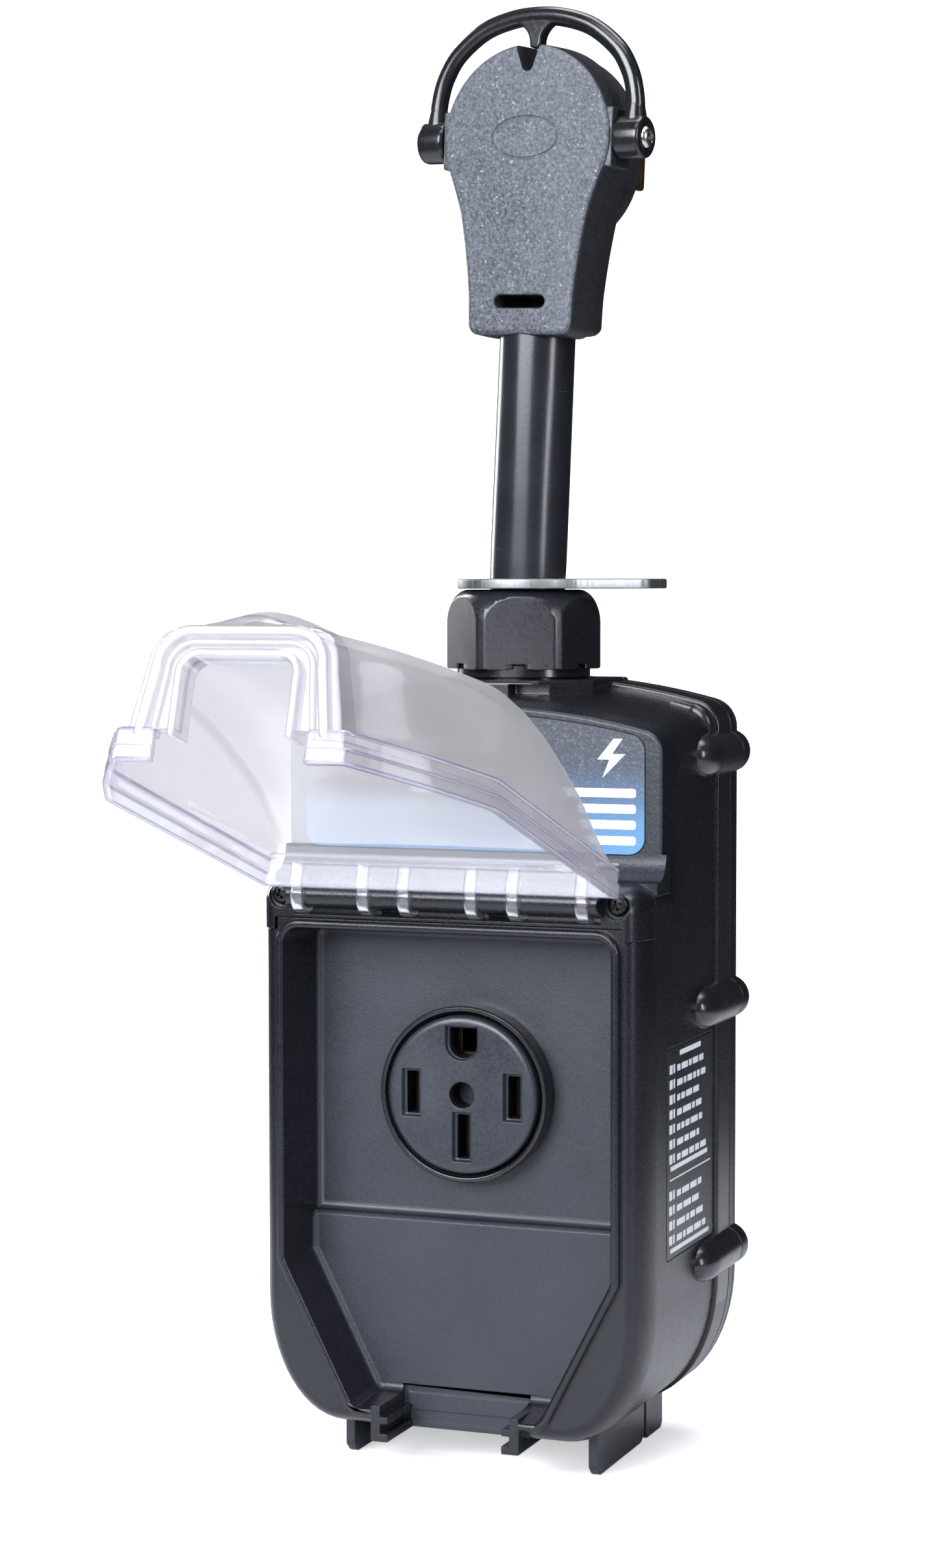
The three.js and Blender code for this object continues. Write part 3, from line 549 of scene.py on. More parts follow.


# Name, dark tone, light tone, roughness, grain scale, bump depth (m), edge lightening (worn by
# rubbing, and a painted highlight), roughness drift; then clear coat and specular level where
# they aren't the usual.
MOULDED = [
    ("case_abs", (0.0042, 0.0048, 0.0068), (0.0064, 0.0074, 0.0104), 0.27, 1500, 3e-5, 0.3, 0.05),
    ("panel_abs", (0.0105, 0.0122, 0.0172), (0.0168, 0.0195, 0.0265), 0.36, 1000, 14e-5, 0.3,
     0.06),
    ("recess_abs", (0.0115, 0.0138, 0.0198), (0.0170, 0.0200, 0.0280), 0.40, 1700, 7e-5, 0.35,
     0.06),
    ("black_nylon", (0.005, 0.0052, 0.006), (0.009, 0.0095, 0.011), 0.2, 900, 2e-5, 0.35, 0.05,
     0.3),
    ("boss_abs", (0.006, 0.0064, 0.008), (0.010, 0.0108, 0.013), 0.25, 900, 3e-5, 0.3, 0.05, 0.3),
    ("nut_nylon", (0.007, 0.0078, 0.010), (0.012, 0.0132, 0.017), 0.33, 900, 3e-5, 0.3, 0.05,
     0.15),
    ("black_rubber", (0.012, 0.012, 0.013), (0.02, 0.02, 0.021), 0.75, 1400, 6e-5, 0.1, 0.1),
    ("receptacle_thermoset", (0.0125, 0.0145, 0.020), (0.019, 0.022, 0.029), 0.31, 1300, 3e-5,
     0.4, 0.1),
    # Near-black: painted shade for the faces inside the receptacle's slots.
    ("dark_opening", (0.002, 0.002, 0.0025), (0.003, 0.003, 0.0035), 0.7, 900, 3e-5, 0.0, 0.1,
     0.0, 0.2),
    ("relay_case", (0.02, 0.021, 0.023), (0.03, 0.031, 0.034), 0.3, 1200, 3e-5, 0.35, 0.1),
    ("terminal_green", (0.01, 0.09, 0.035), (0.02, 0.13, 0.05), 0.4, 900, 3e-5, 0.35, 0.1),
    ("varistor_epoxy", (0.02, 0.06, 0.28), (0.03, 0.09, 0.38), 0.3, 600, 6e-5, 0.35, 0.1),
    ("side_label_film", (0.010, 0.010, 0.011), (0.015, 0.015, 0.016), 0.3, 1300, 3e-5, 0.2, 0.1),
]
WIRES = {"line_1": (0.012, 0.012, 0.012), "line_2": (0.35, 0.02, 0.02),
         "neutral": (0.6, 0.6, 0.58), "ground": (0.02, 0.22, 0.06)}
for row in MOULDED:
    moulded(*row)
for wire, colour in WIRES.items():
    moulded("wire_" + wire, colour, scaled(colour, gain=1.3), rough=0.4, grain=800, depth=3e-5,
            wear_and_highlight=0.1, smudge=0.1)


def metal(name, colour, tarnish, rough, stretch, depth):
    """Metal with a drawn or sheared grain, tarnish drift, and edges brighter, partly worn
    and partly a painted highlight.
    """
    nodes = Nodes(name)
    normal, near_edge = nodes.edges(radius=0.0003)
    lines = nodes.noise(scale=900, detail=4.0, rough=0.6, stretch=stretch)
    drift = nodes.noise(scale=60, detail=4.0, rough=0.6)
    tone = nodes.mix(nodes.ramp(drift, (0.3, 0.75)), colour, tarnish)
    # Edges brighter: partly worn, partly a painted highlight.
    tone = nodes.mix(nodes.times(near_edge, 0.4), tone, scaled(colour, gain=1.25))
    nodes.surface(Base_Color=tone, Metallic=1.0,
                  Roughness=nodes.ramp(lines, MIDDLE, (rough * 0.75, rough * 1.3)),
                  Normal=nodes.bump(lines, depth, normal))


# Name, colour, tarnish, roughness, stretch of the grain, bump depth (m).
METALS = [
    ("zinc_steel", (0.31, 0.315, 0.32), (0.26, 0.265, 0.27), 0.5, (1, 1, 0.12), 5e-5),
    ("nickel_screw", (0.66, 0.64, 0.60), (0.5, 0.48, 0.44), 0.22, (1, 1, 1), 3e-5),
    ("black_oxide", (0.03, 0.03, 0.032), (0.05, 0.05, 0.05), 0.35, (1, 1, 1), 3e-5),
    ("brass", (0.62, 0.43, 0.19), (0.5, 0.33, 0.14), 0.3, (1, 1, 0.15), 4e-5),
    # Contacts inside the receptacle: brass given a near-black tone.
    ("worn_contact", (0.045, 0.036, 0.024), (0.026, 0.022, 0.016), 0.4, (1, 1, 0.15), 4e-5),
    ("enamelled_copper", (0.52, 0.22, 0.1), (0.35, 0.14, 0.06), 0.35, (1, 0.1, 1), 1e-4),
]
for row in METALS:
    metal(*row)


def cable_material():
    """Dark jacket with lengthwise lines and pale scuffs."""
    nodes = Nodes("cable_jacket")
    along = nodes.noise(scale=400, detail=3.0, rough=0.6, stretch=(1, 1, 0.02))
    grain = nodes.noise(scale=900)
    drift = nodes.noise(scale=30, detail=4.0, rough=0.6)
    scuffs = nodes.ramp(nodes.noise(scale=120, detail=5.0, rough=0.65, stretch=(1, 1, 5)),
                        (0.66, 0.72))
    tone = nodes.mix(nodes.ramp(drift, MIDDLE), (0.011, 0.012, 0.015), (0.018, 0.020, 0.024))
    tone = nodes.mix(nodes.times(scuffs, 0.3), tone, (0.10, 0.10, 0.11))
    rough = nodes.plus(nodes.ramp(drift, MIDDLE, (0.22, 0.26)), nodes.times(scuffs, 0.2))
    height = nodes.plus(nodes.times(along, 0.3), nodes.times(grain, 0.2))
    nodes.surface(Base_Color=tone, Roughness=rough, Normal=nodes.bump(height, distance=8e-5))


def head_material(name, low, mid, high, flecks, sparks, rough, depth):
    """Mottled PVC: flecks from a low to a high tone, bright sparks and a coarse grain."""
    nodes = Nodes(name)
    normal, near_edge = nodes.edges(radius=0.0007)
    fleck = nodes.noise(scale=820, detail=3.0, rough=0.75)
    fine = nodes.noise(scale=2300, rough=0.6)
    drift = nodes.noise(scale=20, detail=4.0, rough=0.6)
    spark = nodes.ramp(nodes.noise(scale=900, detail=1.0), (0.68, 0.74))
    tone = nodes.mix(nodes.ramp(fleck, (0.36, 0.56), smooth=True), low, mid)
    tone = nodes.mix(nodes.times(nodes.ramp(fleck, (0.58, 0.72)), flecks), tone, high)
    tone = nodes.mix(nodes.times(spark, sparks), tone, (0.5, 0.52, 0.55))
    tone = nodes.mix(nodes.times(nodes.ramp(drift, (0.35, 0.75)), 0.22), tone, high)
    # Edges lighter grey: a painted highlight, partly worn by rubbing.
    tone = nodes.mix(nodes.times(near_edge, 0.3), tone, (0.16, 0.165, 0.18))
    height = nodes.plus(fleck, nodes.times(fine, 0.5))
    nodes.surface(Base_Color=tone, Roughness=nodes.ramp(drift, MIDDLE, rough),
                  Normal=nodes.bump(height, depth, normal))


def clear_material(name, tint, haze, rough, milky, head_on=1.0, refract=0.0):
    """Clear polycarbonate: each skin lets light straight through with a violet tint that
    deepens edge-on, mirrors more at a grazing angle, and carries a trace of haze."""
    nodes = Nodes(name)
    drift = nodes.noise(scale=18, detail=3.0, rough=0.6)
    flow = nodes.noise(scale=35, detail=3.0, rough=0.6, stretch=(1, 2.5, 0.5))
    scratch = nodes.ramp(nodes.noise(scale=500, detail=4.0, rough=0.7, stretch=(1, 0.05, 1)),
                         (0.66, 0.74))
    soft, near_edge = nodes.edges(radius=0.0011)
    normal = nodes.bump(flow, 6e-5, soft)
    facing = nodes.add("LayerWeight", {"Blend": 0.35}, "Facing")

    edge_on = tuple(c * k for c, k in zip(tint, (0.66, 0.64, 0.76)))
    deep = nodes.mix(nodes.math("POWER", facing, 2.2), tint, edge_on)
    violet = nodes.mix(nodes.times(near_edge, 0.75), deep, (0.60, 0.58, 0.80))
    body = nodes.add("BsdfTransparent", {"Color": violet})
    if refract:
        glass = nodes.principled(Base_Color=tint, Roughness=0.03, IOR=1.45,
                                 Transmission_Weight=1.0, Normal=normal)
        body = nodes.mix_shader(refract, body, glass)

    soft_colour = (0.82 * milky, 0.795 * milky, 0.78 * milky)
    back_colour = (0.87 * milky, 0.85 * milky, 0.84 * milky)
    milk = nodes.mix_shader(0.5, nodes.add("BsdfDiffuse", {"Color": soft_colour}),
                            nodes.add("BsdfTranslucent", {"Color": back_colour}))
    veil = nodes.times(nodes.ramp(drift, MIDDLE, (haze * 0.8, haze * 1.2)),
                       nodes.ramp(facing, (0.06, 0.4), (head_on, 1.0)))
    hazy = nodes.mix_shader(nodes.plus(veil, nodes.times(scratch, 0.04)), body, milk)

    gloss = nodes.add("BsdfGlossy", {"Roughness": rough, "Normal": normal})
    fresnel = nodes.add("Fresnel", {"IOR": 1.5, "Normal": normal})
    mirror = nodes.plus(nodes.times(fresnel, 0.7), nodes.times(near_edge, 0.12))
    lit = nodes.mix_shader(nodes.math("MINIMUM", mirror, 0.45), hazy, gloss)
    # Shadow rays pass almost freely, so the cover casts only a faint shadow.
    shadow = nodes.add("BsdfTransparent", {"Color": (0.95, 0.95, 0.96)})
    is_shadow = nodes.add("LightPath", output="Is Shadow Ray")
    nodes.finish(nodes.mix_shader(is_shadow, lit, shadow))


# Name, tint, share of haze, gloss roughness, whiteness of the haze; then the share of haze
# left when looking square on, and the share of real bending of light.
CLEARS = [
    ("clear_cover_pc", (0.80, 0.795, 0.81), 0.43, 0.34, 0.9, 0.22),
    ("clear_cover_end", (0.84, 0.835, 0.87), 0.22, 0.2, 0.7),
    ("clear_cover_edges", (0.93, 0.925, 0.95), 0.22, 0.08, 1.0),
    ("clear_cover_front_wall", (0.90, 0.905, 0.945), 0.24, 0.2, 0.9),
    ("clear_cover_lines", (0.58, 0.56, 0.78), 0.25, 0.08, 1.0),
    ("clear_cover_frame", (0.84, 0.84, 0.88), 0.62, 0.2, 0.66),
    ("clear_cover_hook", (0.90, 0.89, 0.96), 0.05, 0.05, 1.0, 1.0, 0.6),
]


def label_material():
    """Printed film: charcoal at the top fading to blue, with a fine grain."""
    stops = [(0.0, (0.105, 0.27, 0.50)), (0.2, (0.09, 0.22, 0.41)), (0.42, (0.068, 0.12, 0.21)),
             (0.66, (0.046, 0.054, 0.074)), (1.0, (0.032, 0.036, 0.045))]
    nodes = Nodes("label_film")
    height = nodes.ramp(nodes.position()["Z"], (0.2105, 0.2560))
    fade = nodes.add("ValToRGB", {0: height})
    elements = fade.node.color_ramp.elements
    while len(elements) < len(stops):
        elements.new(0.5)
    for element, (position, colour) in zip(elements, stops):
        element.position = position
        element.color = (*colour, 1)
    fine = nodes.noise(scale=1100, detail=3.0, rough=0.65)
    specks = nodes.times(nodes.ramp(fine, (0.52, 0.72)), 0.28)
    nodes.surface(Base_Color=nodes.mix(specks, fade, (0.30, 0.36, 0.44)),
                  Roughness=nodes.ramp(fine, MIDDLE, (0.36, 0.52)),
                  Normal=nodes.bump(fine, 12e-5, nodes.soft_normal(radius=0.0003)))


def print_material():
    ink = (0.78, 0.82, 0.86)
    nodes = Nodes("label_print")
    grain = nodes.noise(scale=900, detail=3.0, rough=0.6)
    tone = nodes.mix(nodes.ramp(grain, (0.3, 0.75)), ink, scaled(ink, gain=0.82))
    nodes.surface(Base_Color=tone, Roughness=nodes.ramp(grain, MIDDLE, (0.4, 0.55)))


def board_material():
    """Green board with lighter traces and a faint weave."""
    nodes = Nodes("circuit_board")
    weave = nodes.add("TexVoronoi", {"Scale": 700, "Vector": nodes.coords((1, 1, 1))},
                      "Distance", feature="F1")
    traces = nodes.ramp(nodes.noise(scale=160, detail=1.0, rough=0.3, stretch=(1, 1, 3)),
                        (0.49, 0.51))
    tone = nodes.mix(traces, (0.008, 0.075, 0.025), (0.02, 0.16, 0.05))
    tone = nodes.mix(nodes.times(nodes.ramp(weave, (0.1, 0.5)), 0.2), tone, (0.05, 0.2, 0.08))
    nodes.surface(Base_Color=tone, Roughness=0.35, Normal=nodes.bump(traces, distance=4e-5))


def smoke_material():
    nodes = Nodes("smoked_window")
    cloud = nodes.noise(scale=300, detail=3.0, rough=0.6)
    tone = nodes.mix(nodes.ramp(cloud, MIDDLE), (0.02, 0.004, 0.005), (0.04, 0.008, 0.01))
    nodes.surface(Base_Color=tone, Roughness=nodes.ramp(cloud, MIDDLE, (0.04, 0.1)),
                  Coat_Weight=0.6, Coat_Roughness=0.03)


cable_material()
# Two copies of one mottled PVC: the first for faces turned to the front, the second darker, as painted
# shade on the head's sides and back.
head_material("head_pvc_face", low=(0.010, 0.012, 0.016), mid=(0.070, 0.078, 0.095),
              high=(0.27, 0.29, 0.33), flecks=0.55, sparks=0.45, rough=(0.42, 0.55), depth=22e-5)
head_material("head_pvc_painted_shade", low=(0.009, 0.010, 0.012), mid=(0.020, 0.022, 0.026),
              high=(0.06, 0.064, 0.072), flecks=0.3, sparks=0.08, rough=(0.33, 0.45), depth=8e-5)
for row in CLEARS:
    clear_material(*row)
label_material()
print_material()
board_material()
smoke_material()


# ---------------------------------------------------------------- dimensions of the case
def span(node):
    """A node's lowest and highest corners in millimetres from the gland's axis."""
    low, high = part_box(node)
    return (low - SHIFT) * 1000, (high - SHIFT) * 1000


def in_mm(point):
    return (point - SHIFT) * 1000


HALF_WIDTH = 69.0
BACK_Y = round(span("rear_cover")[1].y, 2)
SEAM_Y = BACK_Y - 10.3                    # where front shell and rear cover meet
COVER_Y = SEAM_Y + 0.4                    # front of the rear cover
RIM_Y = round(span("front_shell")[0].y, 2)
FACE_Y = RIM_Y + 3                        # front of the lower case, behind the recess's rim
PANEL_Y = -51.0                           # upper panel, which carries the label
BOTTOM_Z, TOP_Z, LEDGE_Z = 14.45, 267.0, 202.0
CORNER_X, CORNER_Z = 40, 58.5             # centre of the long lower corners
ARCH_R = 251.0
FLOOR_Y, DEEP_Y = -52.5, -56.5            # the recess's deeper upper floor, and its lower one
RIM_HALF_WIDTH, RIM_TOP = 61.1, 187.65
SOCKET_Z = 128.45                         # the receptacle's centre
SOCKET_Y = round(span("receptacle_face")[0].y, 2)
SOCKET = (0, SOCKET_Z)
BLADE_X, NEUTRAL_DROP = 18.3, 14.3        # blades from the plug's centre: beside it, below it
hinge = [joint for joint in frame["joints"] if joint["name"] == "cover_hinge"][0]["pos_m"]
HINGE_Y, HINGE_Z = (hinge[1] - SHIFT.y) * 1000, hinge[2] * 1000
BOSS_Z = [242, 155, 66.5]
BOSS_X, BOSS_R = 67.7, 7.5
BRACKET_SCREW = (59.86, HINGE_Z - 0.5)
CASE_EDGE = (7, 15, 12)                   # rounding of the lower case's front
UNEVEN = (0, 22, 45, 67, 90)              # angles round a small fillet


def lower_corner(grow=0.0):
    return arc(CORNER_X, CORNER_Z, HALF_WIDTH + grow - CORNER_X,
               CORNER_Z - (BOTTOM_Z - grow), -90, 0, 14)


def case_outline(grow=0.0, top=TOP_Z):
    """Flat bottom, long rounded lower corners, straight sides, arched top."""
    half_width, corner, arch = HALF_WIDTH + grow, 9 + grow, ARCH_R + grow
    arch_z = top + grow - arch
    corner_z = arch_z + math.sqrt((arch - corner) ** 2 - (half_width - corner) ** 2)
    angle = math.degrees(math.atan2(corner_z - arch_z, half_width - corner))
    right = lower_corner(grow) + arc(half_width - corner, corner_z, corner, corner, 0, angle, 8)
    return both_sides(right, arc(0, arch_z, arch, arch, angle, 180 - angle, 24)[1:-1])


def lower_outline():
    return both_sides(lower_corner() + arc(HALF_WIDTH - 8, LEDGE_Z - 8, 8, 8, 0, 90, 8))


def rim_outline():
    wide, top = RIM_HALF_WIDTH, RIM_TOP
    return clean(rounded([
        (-33, 20, 1.2), (33, 20, 1.2), (36.5, 23, 3), (wide, 70.85, 7), (wide, top, 8),
        (-wide, top, 8), (-wide, 70.85, 7), (-36.5, 23, 3)], 6))


def label_outline(grow=0.0):
    """A rectangle with an arched top edge."""
    half_width, bottom, radius = 61.3 + grow, 210.7 - grow, 5.5 + grow

    def top(x):
        return 256.9 + grow - (x * x) / 520

    right = [(half_width, bottom, radius), (half_width, top(half_width), radius)]
    return rounded(both_sides(right, [(x, top(x), 0) for x in range(50, -51, -10)]), 6)


def hinge_zone(back, above, beyond, wing):
    """Three boxes that hold the hinge bracket: a bar above a height, and a lower wing
    beyond a distance on each side."""
    return [box(-90, 90, -95, back, above, 230), box(beyond, 90, -95, back, wing, 230),
            box(-90, -beyond, -95, back, wing, 230)]


# ---------------------------------------------------------------- front shell
# Upper case, front edge: inset and y.
POD_EDGE = [(2.7, -51.0), (2.35, -50.95), (1.95, -50.7), (1.65, -50.2), (1.45, -49.4),
            (1.2, -48), (0.85, -46), (0.5, -44), (0.2, -42), (0.0, -39.5)]
# Deeper part of the recess: inset, y, height of its lower edge.
DEEP_STEPS = [
    (4.35, -62, 81.6), (4.45, -58.6, 82.2), (4.55, -57.2, 82.8), (4.6, -56.5, 83.6),
    (4.6, -56.0, 84.4), (4.65, -55.3, 84.9), (4.8, -54.2, 85.2), (5.4, -53.3, 85.8),
    (6.2, -52.75, 86.7), (7.2, -52.5, 88.0)]
# Foot of each rail beside the bottom notch: x, z.
RAIL = [(20.4, 11.75), (26.6, 11.75), (26.6, 24), (23.2, 24), (23.2, 20.25), (20.4, 20.25),
        (20.4, 17.85), (23.2, 17.85), (23.2, 14.55), (20.4, 14.55)]
# The step across the bottom notch, between the rails: y, z.
LINTEL = [(FLOOR_Y + 1, 11.75), (DEEP_Y + 1.6, 11.75), (DEEP_Y + 1.6, 14.55),
          (FLOOR_Y - 1.2, 14.55), (FLOOR_Y - 1.2, 17.85), (DEEP_Y + 1.0, 17.85),
          (DEEP_Y + 1.0, 24), (FLOOR_Y + 1, 24)]
# Fins under the case: y, z, corner radius.
FINS = [
    [(-50.4, 0, 3), (-5.5, 0, 3), (-2.5, 3, 1), (-2.5, 24, 0), (-53.4, 24, 0), (-53.4, 3, 2)],
    [(1, 0, 1.5), (16.5, 0, 1.5), (18.5, 2, 1), (18.5, 22, 0), (-0.5, 22, 0), (-0.5, 1.5, 1)],
]
FIN_LEFTS, FIN_THICK = (42.7, -46.1), 3.4


def upper_case():
    rings = []
    for inset, y in POD_EDGE + [(0.0, y) for y in (-30, -20, -10, 0, 6)]:
        top = 261.3 + (y + 51) * 4.9 / 56 if y < 5 else 266.2
        rings.append([(x, y, z) for x, z in offset(clean(case_outline(0, top)), inset)])
    return common(loft(rings), box(-90, 90, -60, 7, 120, 300))


def cove():
    """The concave sweep from the ledge up to the panel."""
    deep, high = 9.5, 9.0
    curve = arc(PANEL_Y - deep, LEDGE_Z + high, deep, high, -90, 0, 8)
    outline = ([(PANEL_Y + 4, LEDGE_Z - 4), (PANEL_Y - deep, LEDGE_Z - 4)] + curve
               + [(PANEL_Y + 4, LEDGE_Z + high)])
    shoulder = rounded(both_sides([(-68.95, 30, 0), (-68.95, -75, 16)]), 10)
    return common(prism(outline, -68.9, 68.9, "x"),
                  prism(shoulder, LEDGE_Z - 6, LEDGE_Z + 12, "z"))


def recess():
    """Cutters for the pocket, with a lip rounded inwards, and for its deeper upper part."""
    lip = [(1.6, RIM_Y - 2)]
    lip += [(1.6 + 1.2 * sin(a), RIM_Y + 1.2 * (1 - cos(a))) for a in UNEVEN]
    floor = [(4.4 + 2.4 * (1 - cos(a)), DEEP_Y - 2.4 + 2.4 * sin(a)) for a in UNEVEN]
    rings = []
    for inset, y, bottom in DEEP_STEPS:
        wide, top, radius = RIM_HALF_WIDTH - inset, RIM_TOP - inset, max(8 - inset, 2.0)
        outline = [(-wide, bottom), (wide, bottom)]
        outline += arc(wide - radius, top - radius, radius, radius, 0, 90, 6)
        outline += arc(-(wide - radius), top - radius, radius, radius, 90, 180, 6)
        rings.append([(x, y, z) for x, z in outline])
    return [profile_prism(rim_outline(), lip + floor), loft(rings)]


def bottom_notch():
    front = RIM_Y - 3
    return [box(-20.4, 20.4, front, DEEP_Y + 1.6, 5, 21.0),
            box(-26.4, 26.4, front, DEEP_Y + 0.6, 8, 22.4),
            box(-23.2, 23.2, front, FLOOR_Y - 2.6, 5, 27)]


def corner_ridge(side):
    """The ridge that wraps a top corner."""
    y = -3.0
    ridge = [(x * side, y, z) for x, z in case_outline(-0.3, 266.0)[16:24]]
    first, last = ridge[0], ridge[-1]
    ridge = ([(first[0], y, first[2] - 3.5)] + ridge + [(last[0] - side * 7, y, last[2] + 1.9)])

    def section(way):
        return circle(2.6 * math.sin(math.pi * min(max(way, 0.03), 0.97)) ** 0.4, 14)

    return sweep(smooth_path(ridge, 26), section)


def collar_outline(half_width, bend_y, nose, front_y):
    """Half-width at the back, where it bends in, half-width at the front and the front."""
    return rounded(both_sides([(-half_width, 19.0, 0), (-half_width, bend_y, 4),
                               (-nose, front_y, 4)]), 5)


def front_shell():
    body = union(
        prism(lower_outline(), FACE_Y, SEAM_Y - 0.02, first=CASE_EDGE), upper_case(),
        prism(case_outline(1.3), 5.0, SEAM_Y, first=(1.1, 1.1, 4), last=(0.35, 0.35, 2)),
        cove(), prism(rim_outline(), RIM_Y, FLOOR_Y + 2, first=(1.1, 1.1, 4)))
    body = cut(body, *recess(), *bottom_notch())
    rails = [bevelled(prism([(side * x, z) for x, z in RAIL], RIM_Y, FLOOR_Y + 0.5), 0.35)
             for side in (1, -1)]
    lintel = bevelled(prism(LINTEL, -22, 22, "x"), 0.35)
    fins = [prism(rounded(fin, 4), left, left + FIN_THICK, "x", both=(0.5, 0.5, 3))
            for left in FIN_LEFTS for fin in FINS]
    body = union(body, *rails, lintel, *fins)
    # Screw bosses with bullet noses down each side.
    nose = [(BOSS_R * sin(a) ** 0.9 if a else 0, -18 + 12.5 * (1 - cos(a)))
            for a in range(0, 91, 9)]
    boss = nose + [(BOSS_R, SEAM_Y - 0.25), (BOSS_R - 0.25, SEAM_Y)]
    for side in (1, -1):
        for z in BOSS_Z:
            body = union(body, lathe(boss, (side * BOSS_X, z), "y", 40))
        body = union(body, corner_ridge(side))
    # Collar under the gland, with two small pockets in its front.
    body = union(body, prism(collar_outline(31, -13, 16, -33.5), 256, 267.7, "z",
                             last=(1.4, 1.4, 4)),
                 prism(collar_outline(29, -12, 15, -31), 255, 264.5, "z"))
    body = cut(body, *[box(left, left + 13, -38, -26, 262.6, 266.4, 0.4)
                       for left in (6.5, -19.5)])
    body = cut(body, *hinge_zone(back=-62, above=188.1, beyond=61.5, wing=184))
    # Openings for the receptacle and gland, then the hollow inside.
    bore = cyl(20.4, (0, 0), 240, 280)
    chamber = cyl(29, (0, 0), 250, 262.3)
    body = cut(body, cyl(28, SOCKET, -70, -40, "y"), bore, chamber)
    body = cut(body, prism(case_outline(-3, TOP_Z - 6.5), FLOOR_Y + 3.7, SEAM_Y + 1))
    # A thicker wall along the seam.
    wall = cut(prism(case_outline(0), SEAM_Y - 6, SEAM_Y - 0.1),
               prism(case_outline(-9), SEAM_Y - 7, SEAM_Y + 1))
    body = union(body, cut(wall, chamber, bore))
    # Recess and window for the front label, and the recess for the side label.
    return cut(body, prism(label_outline(0.35), PANEL_Y - 4, PANEL_Y + 0.6),
               box(-56, -30, -60, -40, 232, 246),
               prism(rounded_rect(-50.3, 2.8, 74.3, 145.8, 1.6, 4), HALF_WIDTH - 0.25,
                     HALF_WIDTH + 3, "x"))


def shell_slot(face):
    """1 for the panel, 2 for the recess's floor, 3 for bosses and flange, 0 elsewhere."""
    centre = in_mm(face.center)
    if centre.z > 203 and centre.y < -45 and face.normal.y < -0.4:
        return 1
    on_floor = centre.z < 200 and DEEP_Y - 3 < centre.y < FLOOR_Y + 0.5 and abs(centre.x) < 59
    if on_floor and face.normal.y < -0.5:
        return 2
    return 3 if abs(centre.x) > 69.35 and centre.y > -19 else 0


shell = skin("front_shell", front_shell(), "case", "case_abs", "case_plastic")
repaint(shell, ["panel_abs", "recess_abs", "boss_abs"], shell_slot)


# ---------------------------------------------------------------- rear cover
def rear_cover():
    # Inset and y: a shadow groove round the side, then the rounded back edge.
    steps = [(0.3, COVER_Y), (0, COVER_Y + 0.3), (0, SEAM_Y + 5.1), (0.35, SEAM_Y + 5.25),
             (0.35, SEAM_Y + 5.65), (0, SEAM_Y + 5.8)]
    steps += [(3 * (1 - sin(a)), BACK_Y - 3 * (1 - cos(a))) for a in range(90, -1, -15)]
    body = profile_prism(case_outline(1.3), steps)
    boss = [(BOSS_R - 0.25, COVER_Y), (BOSS_R, COVER_Y + 0.25), (BOSS_R, BACK_Y - 2.6),
            (BOSS_R - 0.4, BACK_Y - 1.6), (BOSS_R - 1.3, BACK_Y - 1.2)]
    places = [(side * BOSS_X, z) for side in (1, -1) for z in BOSS_Z]
    body = union(body, *[lathe(boss, at, "y", 40) for at in places])
    # A shallow panel pressed into the back.
    panel = rounded([(-52, 44, 16), (52, 44, 16), (56, 236, 10), (-56, 236, 10)], 6)
    body = cut(body, prism(panel, BACK_Y - 0.8, BACK_Y + 3))
    collar = prism(rounded(both_sides([(-31, COVER_Y, 0), (-31, 26, 3)]), 4), 258, 267.7, "z",
                   last=(1.2, 1.2, 3))
    body = union(body, cut(collar, box(-40, 40, -40, COVER_Y, 200, 300)))
    body = cut(body, prism(case_outline(-9), SEAM_Y - 1, BACK_Y - 3),
               cyl(20.4, (0, 0), 240, 280), cyl(23.8, (0, 0), 267.75, 280))
    for at in places:
        body = cut(body, cyl(2.3, at, SEAM_Y - 1, BACK_Y + 1, "y", 20),
                   cyl(4.5, at, BACK_Y - 5, BACK_Y + 1, "y", 32))
    return body


skin("rear_cover", rear_cover(), "case", "case_abs", "case_plastic")


# ---------------------------------------------------------------- case screws
# Domed screw head: shares of its radius and of its height.
SCREW_DOME = [(0.35, 0.99), (0.62, 0.9), (0.82, 0.72), (0.95, 0.42), (1, 0.12)]


def pan_screw(radius, height, centre, direction, shank_radius, shank, cross):
    """A cross-head pan screw: domed head, cross recess with sloping flanks, shank behind."""
    profile = [(0, height)] + [(radius * wide, height * high) for wide, high in SCREW_DOME]
    profile += [(radius, 0), (shank_radius, 0), (shank_radius, -shank), (0, -shank)]
    arms = []
    width, length = radius * 0.13, radius * 0.62
    for turn in (0, 90):
        build = bmesh.new()
        top, low = [
            [build.verts.new((x * length * long, y * width * wide, z))
             for x, y in ((-1, -1), (1, -1), (1, 1), (-1, 1))]
            for z, wide, long in ((height + 0.5, 1.35, 1.0), (height - cross, 0.75, 0.45))]
        build.faces.new(top)
        build.faces.new(low)
        for i in range(4):
            j = (i + 1) % 4
            build.faces.new((top[i], top[j], low[j], low[i]))
        arms.append(moved(to_mesh(build), Matrix.Rotation(turn * RAD, 4, "Z")))
    screw = cut(lathe(profile, count=32), *arms)
    aim = Vector((0, 0, 1)).rotation_difference(Vector(direction)).to_matrix().to_4x4()
    screw.transform(Matrix.Translation(centre) @ aim @ Matrix.Rotation(22 * RAD, 4, "Z"))
    return screw


